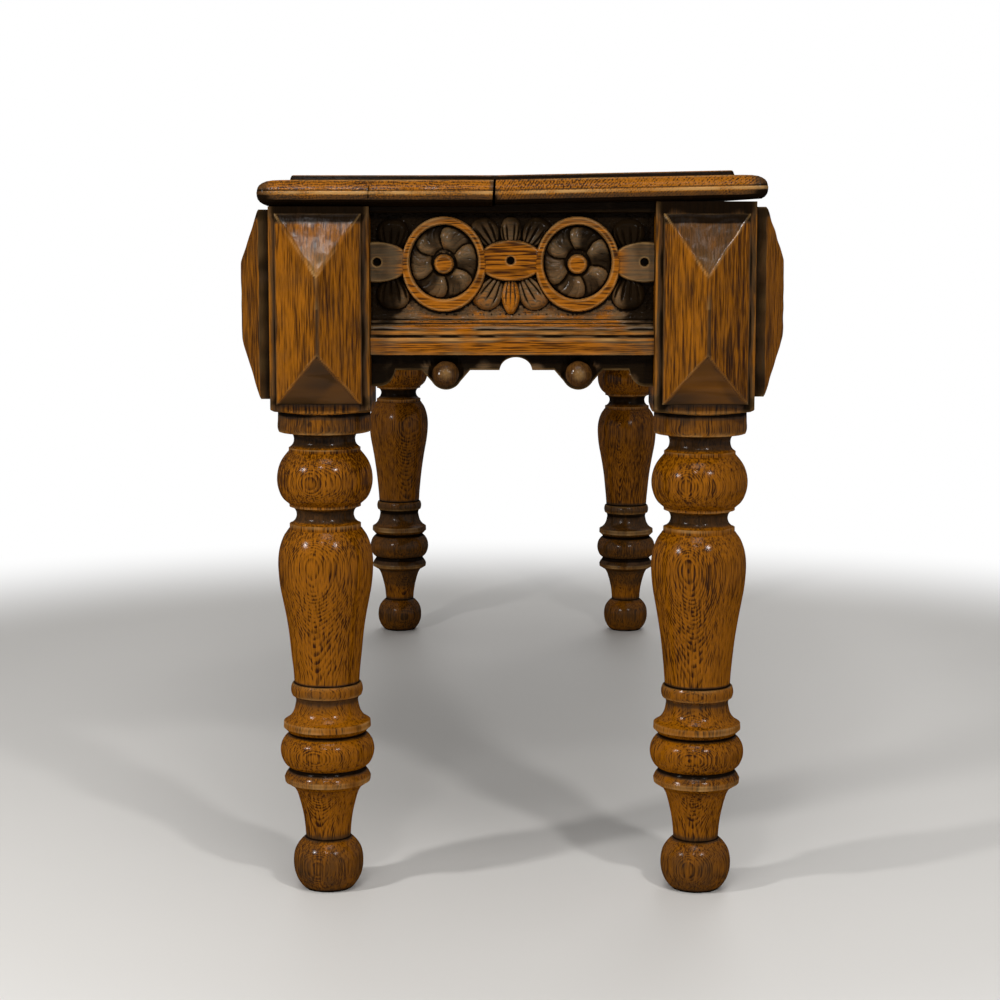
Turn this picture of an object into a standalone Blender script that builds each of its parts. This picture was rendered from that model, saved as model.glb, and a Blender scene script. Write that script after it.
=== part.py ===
"""Oak hall bench: a moulded two-board seat on four turned legs with square blocks.

Carved rails are tenoned into the leg blocks.  Each rail carries an applied
moulding and a shaped apron with turned balls, and each outer face of a block
carries a hipped boss.  Metres, +Z up, origin on the floor under the middle of
the seat; the bench runs along X and its front faces -Y.
"""

import math

import bmesh
import bpy
from mathutils import Matrix

# Clearance between two pieces that touch
FIT = 0.0003

# Seat: two boards with a thumb-moulded edge, joined off centre
SEAT_LENGTH = 1.083
SEAT_DEPTH = 0.3437
SEAT_HEIGHT = 0.5011
SEAT_THICKNESS = 0.0211
SEAT_END_OVERHANG = 0.006
SEAT_SIDE_OVERHANG = 0.0074
SEAT_CORNER_RADIUS = 0.007
SEAT_JOINT_Y = -0.012
SEAT_JOINT_GAP = 0.0012
REAR_BOARD_THICKNESS = 0.0196
REAR_BOARD_LIFT = 0.0038
THUMB_WIDTH = 0.024
THUMB_STEP = 0.0032
THUMB_ROUND = 0.0115
NOSE_HEIGHT = 0.0066
NOSE_FLAT = 0.0039
NOSE_UNDERCUT = 0.008

# Legs: square blocks over turned shafts; the rear blocks stand taller, up to the lifted board
BLOCK_SIDE = 0.068
BLOCK_HEIGHT = 0.1405
BLOCK_SHOULDER = 0.0031
LEG_SEGMENTS = 16
SHOULDER_SEGMENTS = 16
TURNING_TENON = 0.017
COLLAR_RADIUS = 0.0322
COLLAR_HEIGHT = 0.0142
NECK_RADIUS = 0.0213
NECK_HEIGHT = 0.011
FILLET_RADIUS = 0.0248
FILLET_HEIGHT = 0.002
BULB_RADIUS = 0.0335
BULB_HEIGHT = 0.037
WAIST_RADIUS = 0.0200
WAIST_HEIGHT = 0.0127
WAIST_HOLLOW = (0.70, 0.35)
VASE_RADIUS = 0.0332
VASE_SHOULDER = 0.024
VASE_END_RADIUS = 0.0228
RING_RADIUS = 0.0249
RING_HEIGHT = 0.0073
SCOTIA_RADIUS = 0.0219
SCOTIA_HEIGHT = 0.019
SCOTIA_FLARE = 3.5
LIP_RADIUS = 0.0305
LIP_HEIGHT = 0.003
PINCH_RADIUS = 0.0262
PINCH_HEIGHT = 0.0055
TORUS_RADIUS = 0.0330
TORUS_HEIGHT = 0.024
DISC_HEIGHT = 0.0140
DISC_EDGE = (0.46, 0.24)
TRUMPET_RADIUS = 0.0243
TRUMPET_HEIGHT = 0.0375
TRUMPET_FLARE = 2.2
ANKLE_RADIUS = 0.0158
FOOT_RADIUS = 0.0248
FOOT_HEIGHT = 0.0365
FOOT_FLAT_RADIUS = 0.0165

# Hipped bosses on the outer faces of the blocks; those of the long sides sit higher
BOSS_SIDE_MARGIN = 0.005
BOSS_BOTTOM_MARGIN = 0.0080
BOSS_TOP_MARGIN = 0.0045
LONG_BOSS_RAISE = 0.0028
REAR_BOSS_RAISE = 0.0018
BOSS_BASE = 0.007
BOSS_RISE = 0.0155
BOSS_HIP = 0.0385

# Rails: carved field over a shaped apron
RAIL_SETBACK = 0.008
RAIL_THICKNESS = 0.024
RELIEF_DEPTH = 0.007
APRON_DROP = 0.1107
TENON_THICKNESS = 0.010
TENON_LENGTH = 0.022
TENON_SHOULDER_TOP = 0.012
TENON_SHOULDER_BOTTOM = 0.016
BORDER_HEIGHT = 0.004

# Carved band: rings and ovals in line, with a rosette in each ring
LONG_RINGS = 10
END_RINGS = 2
BAND_END_MARGIN = 0.0055
BAND_DROP = 0.0385
RING_HALF_WIDTH = 0.0288
RING_HALF_HEIGHT = 0.0325
HOLE_HALF_WIDTH = 0.0228
HOLE_HALF_HEIGHT = 0.0248
OVAL_LAP = 0.0055
OVAL_HALF_HEIGHT = 0.0136
ROSETTE_SHARE = 0.96
ROSETTE_RISE = 0.0046
ROSETTE_VALLEY = 0.0016
ROSETTE_PETALS = 6
ROSETTE_SWIRL = 0.30
BUTTON_RADIUS = 0.0067
BUTTON_RISE = 0.0058

# Applied moulding between carving and apron
MOULDING_HEIGHT = 0.020
MOULDING_DROP = 0.0798
MOULDING_PROJECTION = 0.0105

# Apron lobes, balls and notches
LOBE_RADIUS = 0.0112
LOBE_SPREAD = 0.0165
BALL_RADIUS = 0.0092
BALL_SEAT = 0.0052
BALL_DROP = 0.1130
BALL_SEGMENTS = 8
NOTCH_HALF_WIDTH = 0.0110
NOTCH_HEIGHT = 0.0088

# Inside the frame: bearers, their screws and rubbed glue blocks
BEARER_SHARE = 0.5
BEARER_WIDTH = 0.045
BEARER_THICKNESS = 0.022
HOUSING_DEPTH = 0.008
SCREW_SHARE = 0.6
SCREW_HEAD_RADIUS = 0.0045
SCREW_RADIUS = 0.0022
SCREW_LENGTH = 0.034
SCREW_TIP = (0.3, 0.8)
SCREW_SEGMENTS = 8
GLUE_BLOCK_LENGTH = 0.060
GLUE_BLOCK_SIDE = 0.024

# Places that follow from the sizes above
SEAT_UNDERSIDE = SEAT_HEIGHT - SEAT_THICKNESS
FRAME_TOP = SEAT_UNDERSIDE - FIT
BLOCK_BOTTOM = FRAME_TOP - BLOCK_HEIGHT
LEG_X = SEAT_LENGTH / 2 - SEAT_END_OVERHANG - BLOCK_SIDE / 2
LEG_Y = SEAT_DEPTH / 2 - SEAT_SIDE_OVERHANG - BLOCK_SIDE / 2
REAR_BOARD_UNDERSIDE = SEAT_HEIGHT - REAR_BOARD_THICKNESS
REAR_BOARD_DEPTH = SEAT_DEPTH / 2 - SEAT_JOINT_Y - SEAT_JOINT_GAP / 2
REAR_BLOCK_SHARE = (LEG_Y - BLOCK_SIDE / 2 - SEAT_JOINT_Y - SEAT_JOINT_GAP / 2) / REAR_BOARD_DEPTH
REAR_BLOCK_TOP = REAR_BOARD_UNDERSIDE + REAR_BLOCK_SHARE * REAR_BOARD_LIFT - FIT
BOSS_WIDTH = BLOCK_SIDE - 2 * BOSS_SIDE_MARGIN
BOSS_HEIGHT = BLOCK_HEIGHT - BOSS_BOTTOM_MARGIN - BOSS_TOP_MARGIN
CARVING_FACE = BLOCK_SIDE / 2 - RAIL_SETBACK
GROUND_FACE = CARVING_FACE - RELIEF_DEPTH
RAIL_BACK = CARVING_FACE - RAIL_THICKNESS
BAND_HEIGHT = FRAME_TOP - BAND_DROP
APRON_EDGE = FRAME_TOP - APRON_DROP
MOULDING_TOP = FRAME_TOP - MOULDING_DROP
BALL_HEIGHT = FRAME_TOP - BALL_DROP
TENON_BACK = RAIL_BACK + (GROUND_FACE - RAIL_BACK - TENON_THICKNESS) / 2
TENON_TOP = FRAME_TOP - TENON_SHOULDER_TOP
TENON_BOTTOM = APRON_EDGE + TENON_SHOULDER_BOTTOM
BEARER_OFFSET = BEARER_SHARE * LEG_X
SCREW_OFFSET = SCREW_SHARE * LEG_Y
# How far a joined or cutting solid runs into its neighbour
SINK = 0.001

# Each side of the frame: turn about Z, half span between leg axes, distance from the middle, rings
SIDES = {
    "front": (0, LEG_X, LEG_Y, LONG_RINGS),
    "right": (90, LEG_Y, LEG_X, END_RINGS),
    "rear": (180, LEG_X, LEG_Y, LONG_RINGS),
    "left": (270, LEG_Y, LEG_X, END_RINGS),
}
LONG_SIDES = ("front", "rear")
# Names of a side's two corners, towards its own -X and +X
CORNERS = {
    "front": ("left", "right"),
    "right": ("front", "rear"),
    "rear": ("right", "left"),
    "left": ("rear", "front"),
}


def make_collection(name):
    """A new collection in the scene."""
    collection = bpy.data.collections.new(name)
    bpy.context.scene.collection.children.link(collection)
    return collection


def make_material(name, colour, roughness, metallic=0.0):
    """A plain Principled BSDF material."""
    material = bpy.data.materials.new(name)
    material.use_nodes = True
    shader = material.node_tree.nodes["Principled BSDF"]
    shader.inputs["Base Color"].default_value = (*colour, 1.0)
    shader.inputs["Roughness"].default_value = roughness
    shader.inputs["Metallic"].default_value = metallic
    return material


def add_object(name, mesh, collection, material=None, parent=None, helper=False):
    """An object for a mesh; a helper is a cutter or an operand and isn't a piece."""
    obj = bpy.data.objects.new(name, mesh)
    collection.objects.link(obj)
    obj.parent = parent
    if material and not mesh.materials:
        mesh.materials.append(material)
    if helper:
        obj.hide_render = True
        obj.display_type = "WIRE"
    return obj


def mesh_of(bm, name):
    """The finished mesh of a bmesh, with its normals facing out."""
    bmesh.ops.recalc_face_normals(bm, faces=bm.faces)
    mesh = bpy.data.meshes.new(name)
    bm.to_mesh(mesh)
    bm.free()
    return mesh


def box_mesh(name, low, high):
    """A box between two corners."""
    bm = bmesh.new()
    bmesh.ops.create_cube(bm, size=1.0)
    size = [b - a for a, b in zip(low, high)]
    middle = [(a + b) / 2 for a, b in zip(low, high)]
    bmesh.ops.scale(bm, vec=size, verts=bm.verts)
    bmesh.ops.translate(bm, vec=middle, verts=bm.verts)
    return mesh_of(bm, name)


def outline_mesh(name, outlines, low, high):
    """A flat outline, with any holes as further outlines, extruded from low to high along Z."""
    curve = bpy.data.curves.new(name, "CURVE")
    curve.dimensions = "2D"
    curve.fill_mode = "BOTH"
    curve.extrude = (high - low) / 2
    for points in outlines:
        spline = curve.splines.new("POLY")
        spline.points.add(len(points) - 1)
        for point, (x, y) in zip(spline.points, points):
            point.co = (x, y, 0, 1)
        spline.use_cyclic_u = True
    source = bpy.data.objects.new(name, curve)
    bpy.context.scene.collection.objects.link(source)
    graph = bpy.context.evaluated_depsgraph_get()
    mesh = bpy.data.meshes.new_from_object(source.evaluated_get(graph))
    bpy.data.objects.remove(source)
    bpy.data.curves.remove(curve)
    bm = bmesh.new()
    bm.from_mesh(mesh)
    bpy.data.meshes.remove(mesh)
    bmesh.ops.remove_doubles(bm, verts=bm.verts, dist=1e-6)
    bmesh.ops.translate(bm, vec=(0, 0, (low + high) / 2), verts=bm.verts)
    return mesh_of(bm, name)


def loft_mesh(name, rings):
    """A solid drawn up ring by ring: the first ring is its floor and the last its top."""
    bm = bmesh.new()
    face = bm.faces.new([bm.verts.new(point) for point in rings[0]])
    for number, ring in enumerate(rings[1:]):
        made = bmesh.ops.extrude_face_region(bm, geom=[face])["geom"]
        if number:
            bmesh.ops.delete(bm, geom=[face], context="FACES_ONLY")
        face = next(item for item in made if isinstance(item, bmesh.types.BMFace))
        for vert, point in zip(face.verts, ring):
            vert.co = point
    bmesh.ops.remove_doubles(bm, verts=bm.verts, dist=1e-6)
    return mesh_of(bm, name)


def turned_mesh(name, profile, segments):
    """A profile of (radius, height), top to bottom, turned about Z with a Screw modifier."""
    mesh = bpy.data.meshes.new(name)
    points = [(radius, 0, height) for radius, height in profile]
    mesh.from_pydata(points, [(i, i + 1) for i in range(len(points) - 1)], [])
    source = bpy.data.objects.new(name, mesh)
    bpy.context.scene.collection.objects.link(source)
    screw = source.modifiers.new("turn", "SCREW")
    screw.axis = "Z"
    screw.steps = screw.render_steps = segments
    screw.use_merge_vertices = True
    screw.merge_threshold = 1e-5
    graph = bpy.context.evaluated_depsgraph_get()
    turned = bpy.data.meshes.new_from_object(source.evaluated_get(graph))
    bpy.data.objects.remove(source)
    bpy.data.meshes.remove(mesh)
    bm = bmesh.new()
    bm.from_mesh(turned)
    bpy.data.meshes.remove(turned)
    bmesh.ops.remove_doubles(bm, verts=bm.verts, dist=1e-6)
    return mesh_of(bm, name)


def boolean(obj, operation, collection):
    """Notes that every helper in a collection joins, cuts or trims an object."""
    JOINERY.append((obj, operation, collection))


def apply_joinery():
    """Gives each object its Boolean modifiers, once all the pieces and helpers are there."""
    for obj, operation, collection in JOINERY:
        modifier = obj.modifiers.new(operation.lower(), "BOOLEAN")
        modifier.operation = operation
        modifier.operand_type = "COLLECTION"
        modifier.collection = collection
        modifier.solver = "EXACT"


def helpers_for(name, meshes, parent=None):
    """A collection holding one helper object for each mesh, out of the render."""
    collection = bpy.data.collections.new(name)
    HELPERS.children.link(collection)
    for i, mesh in enumerate(meshes):
        add_object(f"{name}_{i + 1}", mesh, collection, parent=parent, helper=True)
    return collection


def smooth(mesh, degrees=35):
    """Round surfaces shaded smooth, with crisp arrises."""
    mesh.shade_smooth()
    mesh.set_sharp_from_angle(angle=math.radians(degrees))


def arc(centre, half_width, half_height, start, end, steps):
    """Points on an ellipse from one angle to another, in degrees, both ends included."""
    angles = [math.radians(start + (end - start) * i / steps) for i in range(steps + 1)]
    x, y = centre
    return [(x + half_width * math.cos(a), y + half_height * math.sin(a)) for a in angles]


def swell(top, bottom, end_radius, full_radius, steps):
    """The inner points of a half-elliptic bulge on a turned profile."""
    middle, half = (top + bottom) / 2, (top - bottom) / 2
    turns = [math.pi * (i / (steps + 1) - 0.5) for i in range(1, steps + 1)]
    spread = full_radius - end_radius
    return [(end_radius + spread * math.cos(a), middle - half * math.sin(a)) for a in turns]


def flow(top, bottom, start_radius, end_radius, ease, steps):
    """Points of a profile that runs from one radius to another by an easing rule, end included."""
    points = []
    for i in range(1, steps + 1):
        t = i / steps
        points.append((start_radius + (end_radius - start_radius) * ease(t), top + (bottom - top) * t))
    return points


def leg_profile():
    """The leg's turning from inside the block down to the floor, as (radius, height)."""
    level = BLOCK_BOTTOM + TURNING_TENON
    profile = [(0, level), (COLLAR_RADIUS, level)]
    level = BLOCK_BOTTOM - COLLAR_HEIGHT
    profile += [(COLLAR_RADIUS, level), (NECK_RADIUS, level)]
    profile += [(NECK_RADIUS, level - NECK_HEIGHT / 2)]
    level -= NECK_HEIGHT
    profile += [(FILLET_RADIUS, level)]
    level -= FILLET_HEIGHT
    profile += [(FILLET_RADIUS, level)]
    profile += swell(level, level - BULB_HEIGHT, FILLET_RADIUS, BULB_RADIUS, 4)
    level -= BULB_HEIGHT
    profile += [(FILLET_RADIUS, level), (FILLET_RADIUS, level - FILLET_HEIGHT)]
    level -= FILLET_HEIGHT + WAIST_HEIGHT
    profile += [(WAIST_RADIUS, level + WAIST_HEIGHT * share) for share in WAIST_HOLLOW]
    profile += [(FILLET_RADIUS, level), (FILLET_RADIUS, level - FILLET_HEIGHT)]
    level -= FILLET_HEIGHT
    profile += flow(level, level - VASE_SHOULDER, FILLET_RADIUS, VASE_RADIUS,
                    lambda t: math.sqrt(1 - (1 - t) ** 2), 2)
    level -= VASE_SHOULDER
    ring_top = (FOOT_HEIGHT + TRUMPET_HEIGHT + DISC_HEIGHT + TORUS_HEIGHT + PINCH_HEIGHT
                + LIP_HEIGHT + SCOTIA_HEIGHT + RING_HEIGHT)
    profile += flow(level, ring_top, VASE_RADIUS, VASE_END_RADIUS,
                    lambda t: (1 - math.cos(math.pi * t)) / 2, 4)
    profile += [(RING_RADIUS, ring_top)]
    level = ring_top - RING_HEIGHT
    profile += [(RING_RADIUS, level), (SCOTIA_RADIUS, level)]
    profile += flow(level, level - SCOTIA_HEIGHT, SCOTIA_RADIUS, LIP_RADIUS, lambda t: t ** SCOTIA_FLARE, 3)
    level -= SCOTIA_HEIGHT + LIP_HEIGHT
    profile += [(LIP_RADIUS, level)]
    level -= PINCH_HEIGHT
    profile += [(PINCH_RADIUS, level)]
    profile += swell(level, level - TORUS_HEIGHT, PINCH_RADIUS, TORUS_RADIUS, 3)
    level -= TORUS_HEIGHT
    profile += [(PINCH_RADIUS, level)]
    level -= DISC_HEIGHT
    profile += [(LIP_RADIUS, level + DISC_HEIGHT * share) for share in DISC_EDGE]
    profile += [(TRUMPET_RADIUS, level)]
    profile += flow(level, FOOT_HEIGHT, TRUMPET_RADIUS, ANKLE_RADIUS,
                    lambda t: 1 - (1 - t) ** TRUMPET_FLARE, 3)
    profile += swell(FOOT_HEIGHT, 0, FOOT_FLAT_RADIUS, FOOT_RADIUS, 4)
    return profile + [(FOOT_FLAT_RADIUS, 0), (0, 0)]


def make_leg(name, x_side, y_side):
    """A leg turned from one square, with a mortise in each inner face of its block."""
    half = BLOCK_SIDE / 2
    top = REAR_BLOCK_TOP if y_side > 0 else FRAME_TOP
    shaft = turned_mesh(f"{name}_shaft", leg_profile(), LEG_SEGMENTS)
    smooth(shaft)
    block = box_mesh(f"{name}_block", (-half, -half, BLOCK_BOTTOM), (half, half, top))
    corner = half * math.sqrt(2)
    slope = BLOCK_SHOULDER / (corner - half)
    reach = 2 * corner
    shoulder = turned_mesh(f"{name}_shoulder", [
        (0, FRAME_TOP + half), (reach, FRAME_TOP + half),
        (reach, BLOCK_BOTTOM + slope * (reach - half)), (half, BLOCK_BOTTOM), (0, BLOCK_BOTTOM),
    ], SHOULDER_SEGMENTS)
    inner = half - TENON_LENGTH - 2 * FIT
    across = (TENON_BACK - FIT, TENON_BACK + TENON_THICKNESS + FIT)
    along = (-half - SINK, -inner)
    low, high = TENON_BOTTOM - FIT, TENON_TOP + FIT
    mortises = []
    for first, second in ((along, across), (across, along)):
        xs = sorted(x_side * v for v in first)
        ys = sorted(y_side * v for v in second)
        mortises.append(box_mesh(f"{name}_mortise", (xs[0], ys[0], low), (xs[1], ys[1], high)))
    place = (x_side * LEG_X, y_side * LEG_Y, 0)
    leg = add_object(name, block, BENCH, OAK)
    leg.location = place
    groups = (
        ("INTERSECT", helpers_for(f"{name}_trim", [shoulder])),
        ("UNION", helpers_for(f"{name}_turning", [shaft])),
        ("DIFFERENCE", helpers_for(f"{name}_mortises", mortises)),
    )
    for operation, group in groups:
        for helper in group.objects:
            helper.location = place
        boolean(leg, operation, group)


def make_side_frame(side):
    """An empty whose X runs along a side, Y up and Z outwards from the line of leg axes."""
    degrees, _, distance, _ = SIDES[side]
    turn = Matrix.Rotation(math.radians(degrees), 4, "Z")
    empty = bpy.data.objects.new(f"side_{side}", None)
    BENCH.objects.link(empty)
    stand = Matrix.Rotation(math.radians(90), 4, "X")
    empty.matrix_world = turn @ Matrix.Translation((0, -distance, 0)) @ stand
    return empty


def ring_centres(half_clear, count):
    """Places of the rings along a rail, and the pitch that spreads them over it."""
    length = 2 * (half_clear - BAND_END_MARGIN)
    pitch = length / count
    return [pitch * (i + 0.5) - length / 2 for i in range(count)], pitch


def rail_outline(half_clear, rings, pitch):
    """A rail's face: straight top, with a lobe under each ring and a notch between rings."""
    points = [(half_clear, FRAME_TOP), (-half_clear, FRAME_TOP), (-half_clear, APRON_EDGE)]
    for i, x in enumerate(rings):
        points += [(x - LOBE_SPREAD, APRON_EDGE)]
        points += arc((x, BALL_HEIGHT), LOBE_RADIUS, LOBE_RADIUS, 210, 330, 3)
        points += [(x + LOBE_SPREAD, APRON_EDGE)]
        if i + 1 < len(rings):
            middle = x + pitch / 2
            points += arc((middle, APRON_EDGE), NOTCH_HALF_WIDTH, NOTCH_HEIGHT, 180, 0, 4)
    return points + [(half_clear, APRON_EDGE)]


def band_outlines(rings, pitch):
    """The strap of rings and ovals as one outline, with a hole through each ring."""
    oval_half_width = pitch / 2 - RING_HALF_WIDTH + OVAL_LAP

    def miss(angle):
        """How far a point on a ring lies from the edge of the next oval."""
        across = (pitch / 2 - RING_HALF_WIDTH * math.cos(angle)) / oval_half_width
        return abs(math.hypot(across, RING_HALF_HEIGHT * math.sin(angle) / OVAL_HALF_HEIGHT) - 1)

    # Angles on the ring and on the oval where their edges meet, and on the oval at the rail's end
    meet = min((math.radians(quarter / 4) for quarter in range(20, 200)), key=miss)
    neck = RING_HALF_HEIGHT * math.sin(meet)
    ring_meet = math.degrees(meet)
    oval_meet = math.degrees(math.asin(min(1.0, neck / OVAL_HALF_HEIGHT)))
    oval_end = math.degrees(math.acos(min(1.0, BAND_END_MARGIN / oval_half_width)))

    def oval(x, start, end):
        """The upper edge of an oval between two angles."""
        return arc((x, 0), oval_half_width, OVAL_HALF_HEIGHT, start, end, 3)

    edge = oval(rings[0] - pitch / 2, 180 - oval_end, oval_meet)[:-1]
    for x in rings:
        edge += arc((x, 0), RING_HALF_WIDTH, RING_HALF_HEIGHT, 180 - ring_meet, ring_meet, 5)
        if x < rings[-1]:
            edge += oval(x + pitch / 2, 180 - oval_meet, oval_meet)[1:-1]
    edge += oval(rings[-1] + pitch / 2, 180 - oval_meet, oval_end)[1:]
    upper = [(x, BAND_HEIGHT + y) for x, y in edge]
    lower = [(x, BAND_HEIGHT - y) for x, y in reversed(edge)]
    holes = [arc((x, BAND_HEIGHT), HOLE_HALF_WIDTH, HOLE_HALF_HEIGHT, 0, 330, 11) for x in rings]
    return [upper + lower] + holes


def rosette_mesh():
    """A whorl of petals round a button: crests and valleys by turns, twisted in from the rim."""
    count = 2 * ROSETTE_PETALS
    hub = BUTTON_RADIUS / HOLE_HALF_WIDTH

    def ring(share, twist, crest, valley):
        """Points round the rosette at a share of the hole's size, with heights by turns."""
        angles = [2 * math.pi * i / count + twist for i in range(count)]
        return [(share * HOLE_HALF_WIDTH * math.cos(a), share * HOLE_HALF_HEIGHT * math.sin(a),
                 GROUND_FACE + (crest if i % 2 else valley)) for i, a in enumerate(angles)]

    return loft_mesh("rosette", [
        ring(ROSETTE_SHARE, 0, -SINK, -SINK),
        ring(ROSETTE_SHARE, 0, ROSETTE_RISE, ROSETTE_VALLEY),
        ring(hub, ROSETTE_SWIRL, ROSETTE_VALLEY, ROSETTE_VALLEY),
        ring(hub, ROSETTE_SWIRL, BUTTON_RISE, BUTTON_RISE),
    ])


def make_rail(side, frame):
    """A rail with its carved face, its tenons and its shaped apron."""
    _, half_span, _, count = SIDES[side]
    half_clear = half_span - BLOCK_SIDE / 2 - FIT
    rings, pitch = ring_centres(half_clear, count)
    plank = outline_mesh("rail", [rail_outline(half_clear, rings, pitch)], RAIL_BACK, GROUND_FACE)
    rail = add_object(f"rail_{side}", plank, BENCH, OAK, frame)
    tenon_end = half_clear + TENON_LENGTH
    relief = helpers_for(f"rail_{side}_relief", [
        outline_mesh("band", band_outlines(rings, pitch), GROUND_FACE - SINK, CARVING_FACE),
        box_mesh("border", (-half_clear, FRAME_TOP - BORDER_HEIGHT, GROUND_FACE - SINK),
                 (half_clear, FRAME_TOP, CARVING_FACE)),
        box_mesh("tenons", (-tenon_end, TENON_BOTTOM, TENON_BACK),
                 (tenon_end, TENON_TOP, TENON_BACK + TENON_THICKNESS)),
    ], frame)
    rosette = rosette_mesh()
    for number, x in enumerate(rings):
        helper = add_object(f"rail_{side}_rosette_{number + 1}", rosette, relief, parent=frame, helper=True)
        helper.location = (x, BAND_HEIGHT, 0)
    boolean(rail, "UNION", relief)

    if side in LONG_SIDES:
        half_width = BEARER_WIDTH / 2 + FIT
        bottom = FRAME_TOP - BEARER_THICKNESS - FIT
        housings = [
            box_mesh("housing", (x - half_width, bottom, RAIL_BACK - SINK),
                     (x + half_width, FRAME_TOP + SINK, RAIL_BACK + HOUSING_DEPTH))
            for x in (-BEARER_OFFSET, BEARER_OFFSET)
        ]
        boolean(rail, "DIFFERENCE", helpers_for(f"rail_{side}_housings", housings, frame))
    return rings


def make_moulding(side, frame):
    """The applied moulding under the carving: a bead and a groove over a flat fascia."""
    _, half_span, _, _ = SIDES[side]
    half_clear = half_span - BLOCK_SIDE / 2 - FIT
    back, bottom = GROUND_FACE + FIT, MOULDING_TOP - MOULDING_HEIGHT
    # Shares of the projection and height: fascia, groove, bead, cove and fillet
    section = (
        (0, 0), (1, 0), (1, 0.42), (0.82, 0.46), (0.62, 0.50), (0.66, 0.60), (0.56, 0.70),
        (0.40, 0.76), (0.30, 0.88), (0.12, 0.90), (0.12, 1), (0, 1),
    )
    points = [(back + MOULDING_PROJECTION * depth, bottom + MOULDING_HEIGHT * height)
              for depth, height in section]
    mesh = outline_mesh("moulding", [points], -half_clear, half_clear)
    add_object(f"moulding_{side}", mesh, BENCH, OAK, frame).matrix_local = LENGTHWISE


def ball_mesh():
    """A turned ball with a flat glued back; its axis is Z and its seat is at zero."""
    lowest = -math.asin(BALL_SEAT / BALL_RADIUS)
    steps = 3
    profile = [(0, BALL_SEAT + BALL_RADIUS)]
    for i in range(1, steps + 1):
        a = math.pi / 2 + (lowest - math.pi / 2) * i / steps
        profile.append((BALL_RADIUS * math.cos(a), BALL_SEAT + BALL_RADIUS * math.sin(a)))
    return turned_mesh("drop_ball", profile + [(0, 0)], BALL_SEGMENTS)


def make_balls(side, frame, rings):
    """A ball on each lobe of a side's apron."""
    mesh = ball_mesh()
    smooth(mesh, 60)
    for number, x in enumerate(rings):
        ball = add_object(f"drop_ball_{side}_{number + 1:02d}", mesh, BENCH, OAK_DARK, frame)
        ball.location = (x, BALL_HEIGHT, GROUND_FACE + FIT)


def boss_mesh():
    """A hipped boss: a low base whose face is drawn up to a ridge along Y."""
    def ring(half_width, half_height, level):
        """The four corners of the boss at one level."""
        turns = ((-1, -1), (1, -1), (1, 1), (-1, 1))
        return [(sx * half_width, sy * half_height, level) for sx, sy in turns]

    return loft_mesh("boss", [
        ring(BOSS_WIDTH / 2, BOSS_HEIGHT / 2, 0),
        ring(BOSS_WIDTH / 2, BOSS_HEIGHT / 2, BOSS_BASE),
        ring(0, BOSS_HEIGHT / 2 - BOSS_HIP, BOSS_BASE + BOSS_RISE),
    ])


def make_bosses(side, frame):
    """A boss on the side's face of both its blocks."""
    _, half_span, _, _ = SIDES[side]
    mesh = boss_mesh()
    height = BLOCK_BOTTOM + BOSS_BOTTOM_MARGIN + BOSS_HEIGHT / 2
    if side in LONG_SIDES:
        height += LONG_BOSS_RAISE
    if side == "rear":
        height += REAR_BOSS_RAISE
    for corner, sign in zip(CORNERS[side], (-1, 1)):
        boss = add_object(f"boss_{side}_{corner}", mesh, BENCH, OAK, frame)
        boss.location = (sign * half_span, height, BLOCK_SIDE / 2 + FIT)


def edge_profile(thickness):
    """The seat's edge from its underside up to the field, as (inset, height above the underside)."""
    nose_bottom = NOSE_HEIGHT + thickness - SEAT_THICKNESS
    lower = arc((NOSE_UNDERCUT, nose_bottom), NOSE_UNDERCUT, nose_bottom, 270, 180, 3)
    thumb_top, nose_top = thickness - THUMB_STEP, nose_bottom + NOSE_FLAT
    upper = arc((THUMB_ROUND, nose_top), THUMB_ROUND, thumb_top - nose_top, 180, 90, 4)
    return lower + upper + [(THUMB_WIDTH, thumb_top), (THUMB_WIDTH, thickness)]


def make_board(name, depth, outward, thickness):
    """A seat board moulded on its ends and outer edge; its joint edge lies on local Y zero."""
    half = SEAT_LENGTH / 2

    def plan(inset):
        """The board's plan at one level of its edge profile, as points round the moulded sides."""
        radius = max(SEAT_CORNER_RADIUS - inset, SEAT_CORNER_RADIUS / 20)
        x, y = half - inset - radius, depth - inset - radius
        points = [(half - inset, 0)]
        points += arc((x, y), radius, radius, 0, 90, 3)
        points += arc((-x, y), radius, radius, 90, 180, 3)
        return points + [(-half + inset, 0)]

    profile = edge_profile(thickness)
    rings = [[(x, outward * y, height) for x, y in plan(inset)] for inset, height in profile]
    return add_object(name, loft_mesh(name, rings), BENCH, OAK)


def screw_profile(grow):
    """A countersunk wood screw from its tip down to its head at zero, grown for a hole."""
    tip_radius, shank_end = SCREW_RADIUS * SCREW_TIP[0], SCREW_LENGTH * SCREW_TIP[1]
    head_height = SCREW_HEAD_RADIUS - SCREW_RADIUS
    return [
        (0, SCREW_LENGTH + grow), (tip_radius + grow, SCREW_LENGTH + grow),
        (SCREW_RADIUS + grow, shank_end), (SCREW_RADIUS + grow, head_height),
        (SCREW_HEAD_RADIUS + grow, -grow), (0, -grow),
    ]


def make_seat():
    """The front and rear boards; the rear one is thinner and has lifted at its outer edge."""
    half_gap = SEAT_JOINT_GAP / 2
    front_depth = SEAT_DEPTH / 2 + SEAT_JOINT_Y - half_gap
    front = make_board("seat_board_front", front_depth, -1, SEAT_THICKNESS)
    front.location = (0, SEAT_JOINT_Y - half_gap, SEAT_UNDERSIDE)
    rear = make_board("seat_board_rear", REAR_BOARD_DEPTH, 1, REAR_BOARD_THICKNESS)
    rear.location = (0, SEAT_JOINT_Y + half_gap, REAR_BOARD_UNDERSIDE)
    rear.rotation_euler = (math.atan(REAR_BOARD_LIFT / REAR_BOARD_DEPTH), 0, 0)
    return front, rear


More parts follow.
